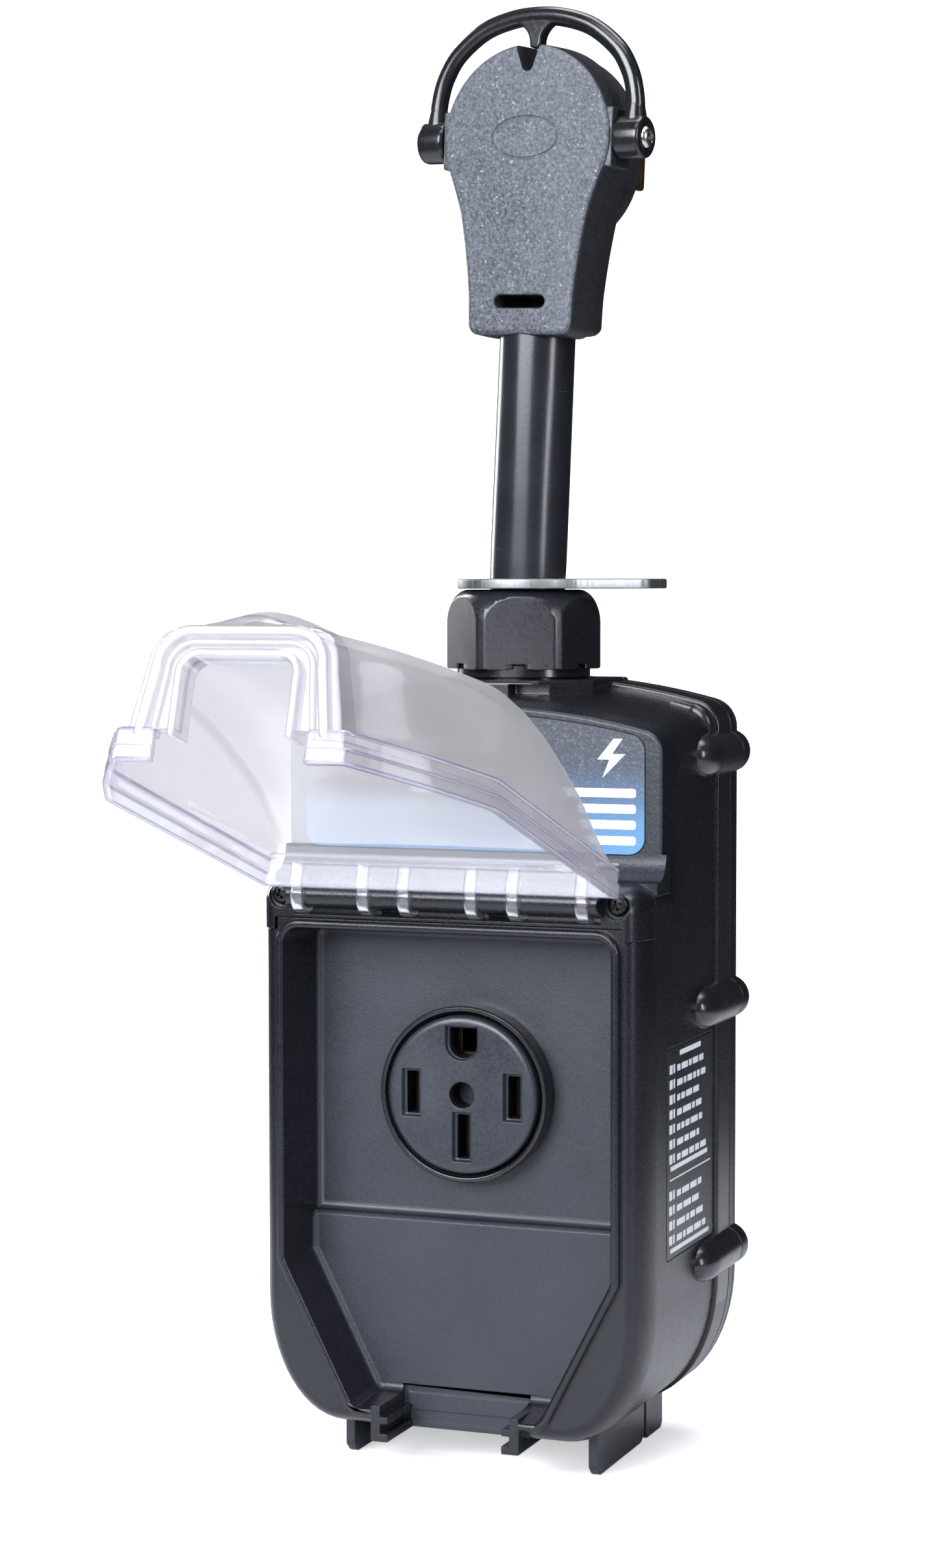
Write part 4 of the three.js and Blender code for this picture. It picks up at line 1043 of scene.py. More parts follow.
for side_name, side in SIDES:
    for row, z in zip(("top", "middle", "bottom"), BOSS_Z):
        screw = pan_screw(radius=4.05, height=2.7, centre=(side * BOSS_X, BACK_Y - 4.65, z),
                          direction=(0, 1, 0), shank_radius=1.9, shank=30, cross=1.4)
        skin(f"case_screw_{side_name}_{row}", screw, "case", "black_oxide", "black_steel")
    screw = pan_screw(radius=3.6, height=1.9,
                      centre=(side * BRACKET_SCREW[0], FACE_Y + 0.9, BRACKET_SCREW[1]),
                      direction=(0, -1, 0), shank_radius=1.45, shank=19, cross=1.2)
    skin(f"bracket_screw_{side_name}", screw, "case", "black_oxide", "black_steel")


# ---------------------------------------------------------------- hinge bracket
def hinge_bracket():
    front = FACE_Y - 1.4
    axis = (HINGE_Y, HINGE_Z)
    bar = common(prism(lower_outline(), front, -50, first=CASE_EDGE),
                 union(*hinge_zone(back=-62.3, above=188.5, beyond=61.9, wing=184.3)))
    bar = cut(bar, cyl(7.4, axis, -54.5, 54.5, "x", 40))
    # The barrel the cover clips on to, on two webs.
    bar = union(bar, cyl(4.2, axis, -56, 56, "x", 32))
    web = [(HINGE_Y + 1, HINGE_Z - 4.0), (HINGE_Y + 12, HINGE_Z - 8),
           (HINGE_Y + 12, HINGE_Z + 3), (HINGE_Y + 1, HINGE_Z + 3.4)]
    for left, right in ((-24, -14.4), (14.4, 24)):
        bar = union(bar, prism(web, left, right, "x", both=(0.4, 0.4, 2)))
    counterbore = [(4.9, -95), (4.9, front), (4.6, front + 0.5), (4.6, FACE_Y + 1.2)]
    for side in (1, -1):
        at = (side * BRACKET_SCREW[0], BRACKET_SCREW[1])
        bar = cut(bar, lathe(counterbore, at, "y", 32), cyl(1.8, at, -90, -60, "y", 16))
    return bar


skin("hinge_bracket", hinge_bracket(), "case", "case_abs", "case_plastic")

# ---------------------------------------------------------------- receptacle
SLOT_END = -48
# Blade slots: x, z from the centre, width, height.
SLOTS = [(-BLADE_X, 0, 4.3, 14.4), (BLADE_X, 0, 4.3, 14.4), (0, -NEUTRAL_DROP, 4.3, 15.0)]


def slot_cutters():
    """Blade slots with sloping mouths, a D-shaped ground hole and a centre hole."""
    made = []
    mouth = [(1.8, SOCKET_Y - 1.0), (1.35, SOCKET_Y), (0.7, SOCKET_Y + 1.7),
             (0.0, SOCKET_Y + 2.0), (0.0, SLOT_END)]
    for x, z, width, height in SLOTS:
        middle = SOCKET_Z + z
        made.append(loft([
            [(a, y, b) for a, b in rounded_rect(
                x - width / 2 - grow, x + width / 2 + grow, middle - height / 2 - grow * 0.75,
                middle + height / 2 + grow * 0.75, 0.45, 3)]
            for grow, y in mouth]))
    rings = []
    for grow, y in ((1.4, SOCKET_Y - 1.0), (1.1, SOCKET_Y), (0.6, SOCKET_Y + 1.6),
                    (0.0, SOCKET_Y + 1.9), (0.0, SLOT_END)):
        half, high = 4.9 + grow, grow * 0.7
        outline = [(half, 22.7 + high), (-4.9 - grow, 22.7 + high)]
        outline += arc(0, 17, half, 4.6 + high, 180, 360, 14)
        rings.append([(x, y, SOCKET_Z + z) for x, z in outline])
    made.append(loft(rings))
    centre = [(5.0, SOCKET_Y - 1), (4.7, SOCKET_Y), (4.4, SOCKET_Y + 0.4), (4.4, SLOT_END)]
    return made + [lathe(centre, SOCKET, "y", 32)]


def receptacle_face():
    disc = [(0, SOCKET_Y), (24.5, SOCKET_Y), (25.6, SOCKET_Y + 0.12), (26.4, SOCKET_Y + 0.5),
            (26.85, SOCKET_Y + 1.1), (27, SOCKET_Y + 2), (27, -52.2), (0, -52.2)]
    return cut(lathe(disc, SOCKET, "y", 96), *slot_cutters())


def slot_shade_choice(face):
    """1 for faces inside the slots, which take near-black painted shade; 0 elsewhere."""
    centre = in_mm(face.center)
    return int(centre.y > SOCKET_Y + 2.2 and math.hypot(centre.x, centre.z - SOCKET_Z) < 26)


outlet = skin("receptacle_face", receptacle_face(), "case", "receptacle_thermoset",
              "receptacle_plastic")
# Faces inside the slots are painted near-black as shade.
repaint(outlet, ["dark_opening"], slot_shade_choice)
# Ring round the face: radius, y.
OUTLET_RING = [(30.2, FLOOR_Y - 0.3), (30.2, -58.9), (30.05, -59.5), (29.6, -59.9), (29.0, -60),
               (28.5, -59.85), (28.25, -59.4), (28.2, -58.2), (27.4, -57.4),
               (27.4, FLOOR_Y - 0.3)]
skin("receptacle_ring", lathe_ring(OUTLET_RING, SOCKET, "y", 96), "case", "black_nylon",
     "gloss_plastic")

# ---------------------------------------------------------------- labels, printed with bars
LABEL_Y = PANEL_Y - 0.15
PRINT_Y = PANEL_Y - 0.21
# Bars on the front label: left, right, bottom, top.
FRONT_BARS = [
    (24, 58.3, 229.7, 232.7), (38, 58.3, 224.4, 227.4), (29, 58.3, 219.1, 222.1),
    (20, 58.3, 213.8, 216.8), (-22, 10, 244, 249), (-22, 16, 236, 239), (-22, 2, 230, 232)]
# Lightning bolt on the front label: x, z.
BOLT = [(50.5, 249.3), (44.8, 242.3), (49.0, 242.3), (46.6, 236.2), (54.6, 244.2),
        (50.0, 244.2), (53.6, 249.3)]
LINE_PITCH = 5.05


def front_bars():
    return joined(*[
        prism(rounded_rect(left, right, low, high, min(right - left, high - low) * 0.3, 3),
              LABEL_Y - 0.06, LABEL_Y)
        for left, right, low, high in FRONT_BARS])


def side_bars():
    """Lines of short bars of random lengths after two markers, and five longer bars."""
    marks = []
    lines = [138.2 - LINE_PITCH * i for i in range(7)] + [95.6 - LINE_PITCH * i for i in range(4)]
    for z in lines:
        marks.append((-47.3, -43.9, z - 1.2, z + 1.9))
        marks.append((-42.9, -41.2, z - 1.2, z + 1.9))
        y = -38.8
        end = -6 - random.random() * 12
        while y < end:
            width = 2.5 + random.random() * 7
            marks.append((y, min(y + width, end + 2), z - 1.0, z + 1.2))
            y += width + 1.3
    marks += [(-47, 0, 101.0, 101.5), (-36, -12, 142.2, 144.0), (-46, -4, 104.2, 105.8),
              (-46, -2, 76.4, 77.9)]
    return joined(*[
        prism(rounded_rect(*mark, 0.25, 2), HALF_WIDTH + 0.1, HALF_WIDTH + 0.115, "x")
        for mark in marks if mark[1] - mark[0] > 0.6])


label = cut(prism(label_outline(0), LABEL_Y, PANEL_Y + 0.3, first=(0.12, 0.12, 2)),
            box(-55.8, -30.2, -60, -40, 232.2, 245.8))
skin("front_label", label, "case", "label_film", "label_film", sharp=50)
piece("front_label_bars", front_bars(), "case", "label_print", "label_film", weighted=False)
piece("front_label_bolt", prism(BOLT, PRINT_Y, LABEL_Y), "case", "label_print", "label_film",
      weighted=False)
side_label = prism(rounded_rect(-50, 2.5, 74.6, 145.5, 1.5, 4), HALF_WIDTH - 0.3,
                   HALF_WIDTH + 0.1, "x", last=(0.08, 0.08, 2))
skin("side_label", side_label, "case", "side_label_film", "side_label_film", sharp=50)
piece("side_label_bars", side_bars(), "case", "label_print", "side_label_film", weighted=False)

# ---------------------------------------------------------------- gland and lock plate
NUT_BOTTOM, NUT_TOP = 271.05, 298.7
NUT_APOTHEM, NUT_TURN = 24.3, -43.7
# Gland body: radius, z.
GLAND_BODY = [(20.0, 252), (20.0, 268.05), (22.9, 268.05), (23.4, 268.5), (23.4, 272.2),
              (23.1, 272.5), (20.0, 272.5), (20.0, 289), (14.6, 289), (14.6, 252)]


def gland_nut():
    """A hexagon with a domed top and a stepped bore."""
    dome = [(27.0 - 7.6 * (1 - cos(a)), 287.0 + 11.7 * sin(a)) for a in range(0, 91, 9)]
    body = lathe([(0, NUT_BOTTOM + 1.9), (24.4, NUT_BOTTOM + 1.9), (24.4, NUT_BOTTOM + 0.3),
                  (24.7, NUT_BOTTOM), (26.6, NUT_BOTTOM), (27, NUT_BOTTOM + 0.5)]
                 + dome + [(17.2, NUT_TOP), (0, NUT_TOP)], count=96)
    reach = NUT_APOTHEM / cos(30)
    hexagon = rounded([(reach * cos(NUT_TURN + i * 60), reach * sin(NUT_TURN + i * 60), 2.0)
                       for i in range(6)])
    body = cut(common(body, prism(hexagon, 260, 310, "z")), cyl(20.3, (0, 0), 260, 292.3),
               lathe([(15.0, 260), (15.0, 296), (16.6, 299.5)], count=48),
               cyl(23.7, (0, 0), 260, 272.8))
    return bevelled(body, 0.45, 3, 22)


def lock_plate():
    """A disc round the cable with a straight tongue to the right, holed near its end."""
    end, half, corner = 50, 12, 4
    low, high = (corner_point.z for corner_point in span("lock_plate"))
    outline = arc(end - corner, -(half - corner), corner, corner, -90, 0, 6)
    outline += arc(end - corner, half - corner, corner, corner, 0, 90, 6)
    outline += [(24.6, half)] + arc(1.8, 0, 25, 25, 32, 328, 60) + [(24.6, -half)]
    steps = [(0.55, low), (0.2, low + 0.12), (0.05, low + 0.5), (0.0, high - 1.1),
             (0.12, high - 0.35), (0.6, high)]
    return cut(profile_prism(outline, steps, "z"), cyl(16.2, (1.4, 0), 290, 310, "z", 64),
               cyl(5.5, (38, 0), 290, 310, "z", 40))


skin("gland_nut", gland_nut(), "case", "nut_nylon", "gloss_plastic", sharp=40)
skin("gland_body", lathe_ring(GLAND_BODY, count=72), "case", "black_nylon", "gloss_plastic")
skin("lock_plate", lock_plate(), "lock_plate", "zinc_steel", "steel", sharp=40)

# ---------------------------------------------------------------- cable
LEAN = 2.5 * RAD
CABLE_R = 13.4
HEAD_Z = 385.5


def lean_x(z):
    """Where the leaning cable's axis is at a height above the gland."""
    return 1.4 + (z - 299) * math.tan(LEAN)


def cable():
    path = [(0, 0, 241), (0, 0, 270)]
    path += [(lean_x(z), 0, z) for z in (299, 320, 345, 362, 380, 384, 392)]
    mesh = sweep(smooth_path(path, 90), circle(CABLE_R, 56))
    # The jacket is pinched by the gland and has the slow lie of the conductors inside it.
    build = bmesh.new()
    build.from_mesh(mesh)
    for vert in build.verts:
        z = vert.co.z
        out = vert.co - Vector((lean_x(z) if z > 285 else 0, 0, z))
        out.z = 0
        angle = math.atan2(out.y, out.x)
        lie = 0.006 * (1 + math.cos(4 * angle + z * 0.045))
        size = 1 - lie - 0.012 * math.exp(-((z - 300) / 4.0) ** 2)
        vert.co += out * (size - 1)
    build.to_mesh(mesh)
    build.free()
    return mesh


cable_skin = piece("cable_skin", cable(), None, "cable_jacket", "cable_jacket",
                   ["cable_lower", "cable_upper"], weighted=False)
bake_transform(cable_skin)

# ---------------------------------------------------------------- plug head
# Drawn upright with its front at -y and z from its foot, then leant and turned.
HEAD = (Matrix.Translation((lean_x(HEAD_Z), 0, HEAD_Z)) @ Matrix.Rotation(-10 * RAD, 4, "Z")
        @ Matrix.Rotation(LEAN, 4, "Y"))
PIVOT_Y, PIVOT_Z = -7.5, 68.2             # the handle's axis
HEAD_FRONT, HEAD_PART, HEAD_BACK, PAD_BACK = -14.4, 1.0, 15.0, 18.0
BLADE_Z = 62
BLADES = [("hot_1", BLADE_X, BLADE_Z), ("hot_2", -BLADE_X, BLADE_Z),
          ("neutral", 0, BLADE_Z - NEUTRAL_DROP)]
PIN = (0, 79.6)
# Side of the head: z, half-width.
HEAD_WIDTHS = [(4.6, 20.7), (14, 21.0), (20, 21.6), (27, 22.5), (35, 23.8), (43, 25.4),
               (48, 27.0), (53.5, 29.0), (57, 30.4), (60.5, 31.8), (64, 32.7), (67.5, 33.0)]
# Front edge of the head: inset, y.
FRONT_STEPS = [
    (2.0, HEAD_FRONT), (1.35, HEAD_FRONT + 0.08), (0.8, HEAD_FRONT + 0.35),
    (0.35, HEAD_FRONT + 0.85), (0.08, HEAD_FRONT + 1.5), (0, HEAD_FRONT + 2.2), (-0.3, -6),
    (-0.5, 0.2), (-0.35, 0.7), (0.1, HEAD_PART)]


def head_outline(grow=0.0, low=0.0):
    side = smooth_path([(width + grow, z, 0) for z, width in HEAD_WIDTHS], 26)
    corner = [(16.6 + grow + 4.0 * sin(a), 1.0 - low + 4.0 - 4.0 * cos(a))
              for a in UNEVEN[:-1]]
    crown = arc(0, 67.5, 33 + grow, 33 + grow, 0, 180, 40)[1:-1]
    return both_sides(corner + [(point.x, point.y) for point in side], crown)


def head_openings(front, back):
    """The V notch in the crown, between two places, and the slot near the foot."""
    notch = both_sides([(-7.2, 106), (-5.0, 100.6), (-3.6, 96.5), (-2.5, 93.6)],
                       arc(0, 93.4, 2.4, 2.4, 180, 360, 10))
    slot = arc(7.85, 12.6, 2.15, 2.15, -90, 90, 8) + arc(-7.85, 12.6, 2.15, 2.15, 90, 270, 8)
    steps = [(-1.0, HEAD_FRONT - 1), (-0.55, HEAD_FRONT), (-0.1, HEAD_FRONT + 0.5),
             (0, HEAD_FRONT + 0.9), (0, 11.5)]
    return [prism(notch, front, back), profile_prism(slot, steps)]


def pivot_cyl(radius, side, near, far, count=48):
    """A cylinder on the handle's axis, between two distances on one side."""
    return cyl(radius, (PIVOT_Y, PIVOT_Z), *sorted((near * side, far * side)), "x", count)


def cable_hole():
    return cyl(13.8, (0, 0), -8, 9, "z", 56)


def front_half():
    body = cut(profile_prism(head_outline(), FRONT_STEPS), *head_openings(-20, 30))
    groove = [(12.9 * cos(a), HEAD_FRONT - 0.02, 68.5 + 7.1 * sin(a)) for a in range(0, 360, 5)]
    body = cut(body, sweep(groove, circle(0.45, 8), closed=True))
    # A flat pad with a screw hole on each side, at the handle's axis.
    pad = rounded_rect(-13.0, 0.6, 58.2, 78.2, 1.0, 3)
    soft = (0.5, 0.5, 2)
    body = union(body, prism(pad, 28, 33.35, "x", last=soft))
    body = cut(body, pivot_cyl(2.3, 1, 25, 40, 20))
    body = union(body, prism(pad, -33.35, -28, "x", first=soft))
    body = cut(body, pivot_cyl(2.3, -1, 25, 40, 20))
    hollow = cut(prism(head_outline(-4, -3), HEAD_FRONT + 4, HEAD_PART + 1),
                 box(-13, 13, -20, 30, 6.5, 18.7), box(-8, 8, -20, 20, 84, 110),
                 pivot_cyl(5, 1, 20, 45), pivot_cyl(5, -1, 20, 45))
    return cut(body, hollow, cable_hole())


def back_half():
    front = HEAD_PART + 0.3
    steps = [(0.9, front), (0.5, front + 0.35), (0.45, front + 3.2), (0.8, front + 3.6),
             (0.8, HEAD_BACK - 7.5), (1.1, HEAD_BACK - 5.5), (1.9, HEAD_BACK - 3.3),
             (3.1, HEAD_BACK - 1.4), (4.4, HEAD_BACK - 0.4), (5.6, HEAD_BACK)]
    pad = [(0, 8), (28.5, 8), (28.5, PAD_BACK - 0.8), (28.2, PAD_BACK - 0.2), (27.6, PAD_BACK),
           (0, PAD_BACK)]
    body = union(profile_prism(head_outline(), steps), lathe(pad, (0, BLADE_Z), "y", 72))
    body = cut(body, *head_openings(-5, 8))
    hollow = cut(prism(head_outline(-5, -3), 0, HEAD_BACK - 6),
                 box(-13, 13, -20, 30, 6.5, 18.7), box(-8, 8, -20, 20, 84, 110))
    body = cut(body, hollow, cable_hole())
    slots = [box(x - 1.2, x + 1.2, 0, 30, z - 7.3, z + 7.3) for _, x, z in BLADES]
    return cut(body, *slots, cyl(4.9, PIN, 0, 30, "y", 32))


def blade(x, z):
    """A flat blade with its tip's outer corners chamfered round."""
    build = bmesh.new()
    build.from_mesh(box(x - 0.85, x + 0.85, 4, 38.5, z - 7, z + 7))
    tip = [edge for edge in build.edges
           if all(vert.co.y > 38 for vert in edge.verts)
           and abs(edge.verts[0].co.x - edge.verts[1].co.x) > 1]
    bmesh.ops.bevel(build, geom=tip, offset=1.8, segments=3, profile=0.5, affect="EDGES")
    return bevelled(to_mesh(build), 0.3, 2, 40)


front = skin("plug_head_front", front_half(), "plug", "head_pvc_face", "head_plastic", place=HEAD)
facing = (HEAD.to_3x3() @ Vector((0, -1, 0))).normalized()
# Faces turned away from the front, the oval groove's walls among them, take the darker copy as painted
# shade.
repaint(front, ["head_pvc_painted_shade"], lambda face: int(face.normal.dot(facing) < 0.55))
# The whole back half takes the darker copy as painted shade.
skin("plug_head_back", back_half(), "plug", "head_pvc_painted_shade", "head_plastic", place=HEAD)
# Ground pin: radius, y.
PIN_PROFILE = [(0, 41), (1.6, 40.8), (2.9, 40.0), (3.9, 38.6), (4.4, 36.8), (4.5, 35), (4.5, 4),
               (0, 4)]
skin("ground_pin", lathe(PIN_PROFILE, PIN, "y", 40), "plug", "brass", "brass", place=HEAD)
for name, x, z in BLADES:
    skin("blade_" + name, blade(x, z), "plug", "brass", "brass", place=HEAD)

# ---------------------------------------------------------------- pull handle
# Left half of the bail: x, z.
BAIL = [(-39.2, 66), (-39.5, 76), (-38.6, 84), (-36.4, 91), (-31.4, 98.6), (-21.5, 106.0),
        (-10.5, 109.6)]
# Ear round the pivot: radius, x.
EAR = [(2.3, 33.7), (6.5, 33.7), (7.1, 34.3), (7.25, 35.0), (7.25, 42.4), (7.0, 43.4),
       (6.2, 44.0), (4.5, 44.0), (4.4, 43.0), (2.3, 43.0)]
# Socket the bail grows out of: z, scale.
EAR_SOCKET = ((70, 1.25), (73.5, 1.22), (75.5, 1.1), (77.5, 0.98), (79.5, 0.86))


def pull_handle():
    points = [(x, PIVOT_Y, z) for x, z in both_sides(BAIL, [(0, 110.6)])]
    handle = sweep(smooth_path(points, 110), circle(3.2, 24, 3.0))
    for side in (1, -1):
        ear = lathe_ring(EAR, (PIVOT_Y, PIVOT_Z), "x", 48)
        if side < 0:
            ear = moved(ear, MIRROR_X)
        socket = loft([[(side * 39.2 + x * scale, PIVOT_Y + y * scale, z)
                        for x, y in circle(3.6, 24)] for z, scale in EAR_SOCKET])
        handle = cut(union(handle, ear, socket), pivot_cyl(2.3, side, 30, 50, 24))
    # A tab that hangs from the middle of the bail.
    flare = [(2.2 + 7.5 * (1 - cos(a)), 101 + 7.4 * sin(a)) for a in range(0, 91, 10)]
    tab = [(-1.9, 99.8), (0, 99.2), (1.9, 99.8)] + both_sides(flare, [(8, 110.5), (-8, 110.5)])
    return union(handle, prism(tab, PIVOT_Y - 2.5, PIVOT_Y + 2.5, both=(0.8, 0.8, 3)))


skin("pull_handle", pull_handle(), "handle", "black_nylon", "gloss_plastic", place=HEAD, sharp=40)
for side_name, side in SIDES:
    screw = pan_screw(radius=3.9, height=2.4, centre=(side * 43.3, PIVOT_Y, PIVOT_Z),
                      direction=(side, 0, 0), shank_radius=1.95, shank=15, cross=1.4)
    skin(f"handle_screw_{side_name}", screw, "plug", "nickel_screw", "steel", place=HEAD)

# ---------------------------------------------------------------- clear cover
# Drawn closed as (x, along, out): across, down from the hinge's axis, and out from the case.
# Then stood in its frame and opened about the hinge.
LID = (Matrix.Translation((0, HINGE_Y, HINGE_Z)) @ Matrix.Rotation(-107.6 * RAD, 4, "X")
       @ Matrix(((1, 0, 0, 0), (0, 0, -1, 0), (0, -1, 0, 0), (0, 0, 0, 1))))
LID_START, LID_END = 5.1, 175.6
MOUTH_OUT, FLANGE_OUT = 1.0, 10.5
WALL = 2.4
# Each table is (along, value).
FLANGE_WIDTH = [(0, 62.8), (124, 63.6), (139.6, 56.6), (148.5, 52.2), (166.6, 41.7), (180, 33.4)]
FOOT_WIDTH = [(0, 60.6), (120, 61.0), (139.6, 54.0), (148.5, 49.5), (162, 40.5), (168, 36.0),
              (180, 30)]
TOP_WIDTH = [(0, 56.8), (112, 57.0), (133, 50), (154, 39.5), (164, 31), (172, 27.2), (180, 27)]
CROWN_HEIGHT = [(0, 8.5), (5, 13), (15.8, 19.3), (33.8, 28.5), (52.2, 33.9), (71.9, 38.6),
                (88.4, 41.0), (109, 41.8), (180, 42)]
CROWN_ARCH = [(0, 0.3), (40, 0.9), (80, 2.6), (110, 5.8), (138, 9.6), (156, 9.4), (166, 6.0),
              (172, 2.6), (180, 2.0)]
CROWN_RADIUS = [(0, 4), (80, 5), (120, 6), (150, 9), (170, 11), (180, 11)]


def lid_section(along, inset, cap):
    """Half the cross-section, from the mouth's edge to the middle of the crown; cap limits
    how far out it goes."""
    flange = smooth_table(FLANGE_WIDTH, along, 2.5) - inset
    foot = smooth_table(FOOT_WIDTH, along, 3.0) - inset
    top = smooth_table(TOP_WIDTH, along, 5.0) - inset
    height = smooth_table(CROWN_HEIGHT, along, 4.0) - inset
    arch = smooth_table(CROWN_ARCH, along, 4.0)
    radius = smooth_table(CROWN_RADIUS, along, 4.0)
    radius = min(radius, max(height - FLANGE_OUT - 1.5, 0.6))
    step = FLANGE_OUT - inset * 0.85
    slope = (foot - top) / max(height - step, 4) if height > step + 2 else 0

    def wall_x(out):
        return foot - slope * (out - step)

    points = [(flange, MOUTH_OUT), (flange, 4.9), (flange - 0.25, 5.3), (flange - 0.75, 5.5),
              (flange - 0.8, 6.2), (flange - 0.8, step - 0.7), (flange - 1.0, step - 0.2),
              (flange - 1.4, step), (wall_x(step) + 0.3, step + 0.05),
              (wall_x(step + 0.8), step + 0.6)]
    shoulder = height - radius
    for share in (0.15, 0.3, 0.5, 0.7, 0.85, 1.0):
        out = step + 0.8 + (shoulder - step - 0.8) * share
        points.append((wall_x(out), out))
    shoulder_x = wall_x(shoulder)
    for a in range(12, 91, 13):
        points.append((shoulder_x - radius + radius * cos(a), shoulder + radius * sin(a)))
    crown_x = points[-1][0]
    for k in range(1, 13):
        x = crown_x * (1 - k / 12)
        rise = math.cos(min(abs(x) / max(crown_x, 1), 1) * math.pi) * 0.5 + 0.5
        points.append((x, height + arch * rise))
    if cap is not None:
        points = [(x, min(out, cap)) for x, out in points]
    return points


def lid_solid(inset, start, end, base):
    """A closed solid: the outside of the cover, or with an inset its inside; its open side
    is closed flat at base."""
    first_wall, last_wall = start + 2.2, end - 2.6
    step = FLANGE_OUT - inset * 0.85
    # Stations of (along, cap): flange, hinge-end wall, body, rounded far end, flange.
    stations = [(start, step), (start + 1.2, step), (first_wall, step)]
    first_height = smooth_table(CROWN_HEIGHT, first_wall + 1, 4.0) - inset
    for k in (0.0, 0.35, 0.7, 0.9):
        cap = max(step + 0.2, step + (first_height - FLANGE_OUT) * (0.55 + k * 0.5))
        stations.append((first_wall + 0.15 + k * 1.6, cap))
    along = first_wall + 2.4
    while along < last_wall - 7.5:
        stations.append((along, None))
        along += 3.0 if along > 100 else 4.5
    end_height = 42.4 - inset
    for a in range(0, 91, 18):
        stations.append((last_wall - 7 + 7 * sin(a), end_height + 4.6 - 9.6 * (1 - cos(a))))
    stations += [(last_wall + 0.12, end_height - 9.0), (last_wall + 0.25, step),
                 (last_wall + 1.4, step), (end, step)]
    rings = []
    for along, cap in stations:
        half = lid_section(along, inset, cap)
        half = [(half[0][0], base)] + half
        rings.append([(x, along, out) for x, out in both_sides(half[:-1], half[-1:])])
    return loft(rings)


def u_path(half_width, top, radius, foot):
    """An upside-down U of (x, out)."""
    return ([(-half_width, foot), (-half_width, top - radius)]
            + arc(-half_width + radius, top - radius, radius, radius, 180, 90, 8)
            + arc(half_width - radius, top - radius, radius, radius, 90, 0, 8)
            + [(half_width, top - radius), (half_width, foot)])


def cover_body():
    """The shell of the cover, with the cord opening in its far end."""
    body = cut(lid_solid(0, LID_START, LID_END, MOUTH_OUT),
               lid_solid(WALL, LID_START + WALL, LID_END - WALL, MOUTH_OUT - 3))
    return cut(body, prism(u_path(17.3, 32, 5, -8), 160, 190),
               box(-24, 24, 160, 190, -8, FLANGE_OUT - 0.3))


def cord_band():
    """A U-shaped band that lines the cord opening."""
    half_width, top, radius, foot, thick = 17.35, 32.05, 5, 8.4, 2.2
    outer = u_path(half_width + thick, top + thick, radius + thick, foot)
    inner = u_path(half_width, top, radius, foot)
    return prism(outer + inner[::-1], 166.0, 176.4, both=(0.6, 0.6, 3))


def hood_frame(foot_width, top_width, top, radius, thick, start, end, edge):
    """A band like an upside-down U whose legs splay towards their feet."""
    foot = 8.6

    def line(grow):
        leg = top + grow - radius - grow * 0.3
        turn = radius + grow
        return ([(-foot_width - grow, foot), (-top_width - grow, leg)]
                + arc(-top_width + radius, top - radius, turn, turn, 180, 90, 8)
                + arc(top_width - radius, top - radius, turn, turn, 90, 0, 8)
                + [(top_width + grow, leg), (foot_width + grow, foot)])

    return prism(line(0) + line(-thick)[::-1], start, end, both=(edge, edge, 3))


def edge_lines():
    """Fine lines round the cover's edge up to the cord opening, and across the hinge end."""
    made = []
    start, end = LID_START + 0.5, LID_END - 0.9
    # How far out, radius, how far inside the flange's edge.
    for out, radius, back in ((1.5, 0.6, 0.45), (5.45, 0.5, 0.55), (FLANGE_OUT - 0.2, 0.65, 1.1)):
        stations = [start + (end - start) * k / 44 for k in range(45)]
        right = [(smooth_table(FLANGE_WIDTH, along, 2.5) - back, along, out)
                 for along in stations]
        end_x = right.pop()[0]
        right += [(end_x - 0.3, end + 0.1, out), (end_x - 1.4, end + 0.45, out),
                  (24.5, LID_END - 0.45, out)]
        made.append(sweep(right, circle(radius, 8)))
        made.append(sweep([(-x, along, out) for x, along, out in right], circle(radius, 8)))
    for out in (1.35, 12.2):
        across = [(x, LID_START + 0.45, out) for x in (62.0, 30, 0, -30, -62.0)]
        made.append(sweep(across, circle(0.42, 8)))
    return joined(*made)


def hooks():
    """Hooks that snap round the barrel, each with a root on the cover's edge."""
    curl = arc(0, 0, 6.5, 6.5, -150, 60, 21) + arc(0, 0, 4.6, 4.6, 60, -150, 21)
    root = rounded([(5.0, 0.9, 0.4), (8.0, 0.9, 0.4), (8.0, 9.4, 0.6), (5.0, 9.4, 0.6)], 3)
    made = []
    for x in (-50.4, -26.5, -11.9, 11.9, 26.5, 50.4):
        made.append(prism(curl, x - 2.0, x + 2.0, "x", both=(0.35, 0.35, 2)))
        made.append(prism(root, x - 2.0, x + 2.0, "x", both=(0.3, 0.3, 2)))
    return joined(*made)


def cover_slot(face):
    """2 for the hinge end, 1 for the flange, 3 for the far end, 0 elsewhere."""
    _, along, out = TO_LID @ face.center
    if along < 8.5:
        return 2
    if out < FLANGE_OUT + 0.4:
        return 1 if along < 165 else 3
    return 3 if along > 167.5 else 0


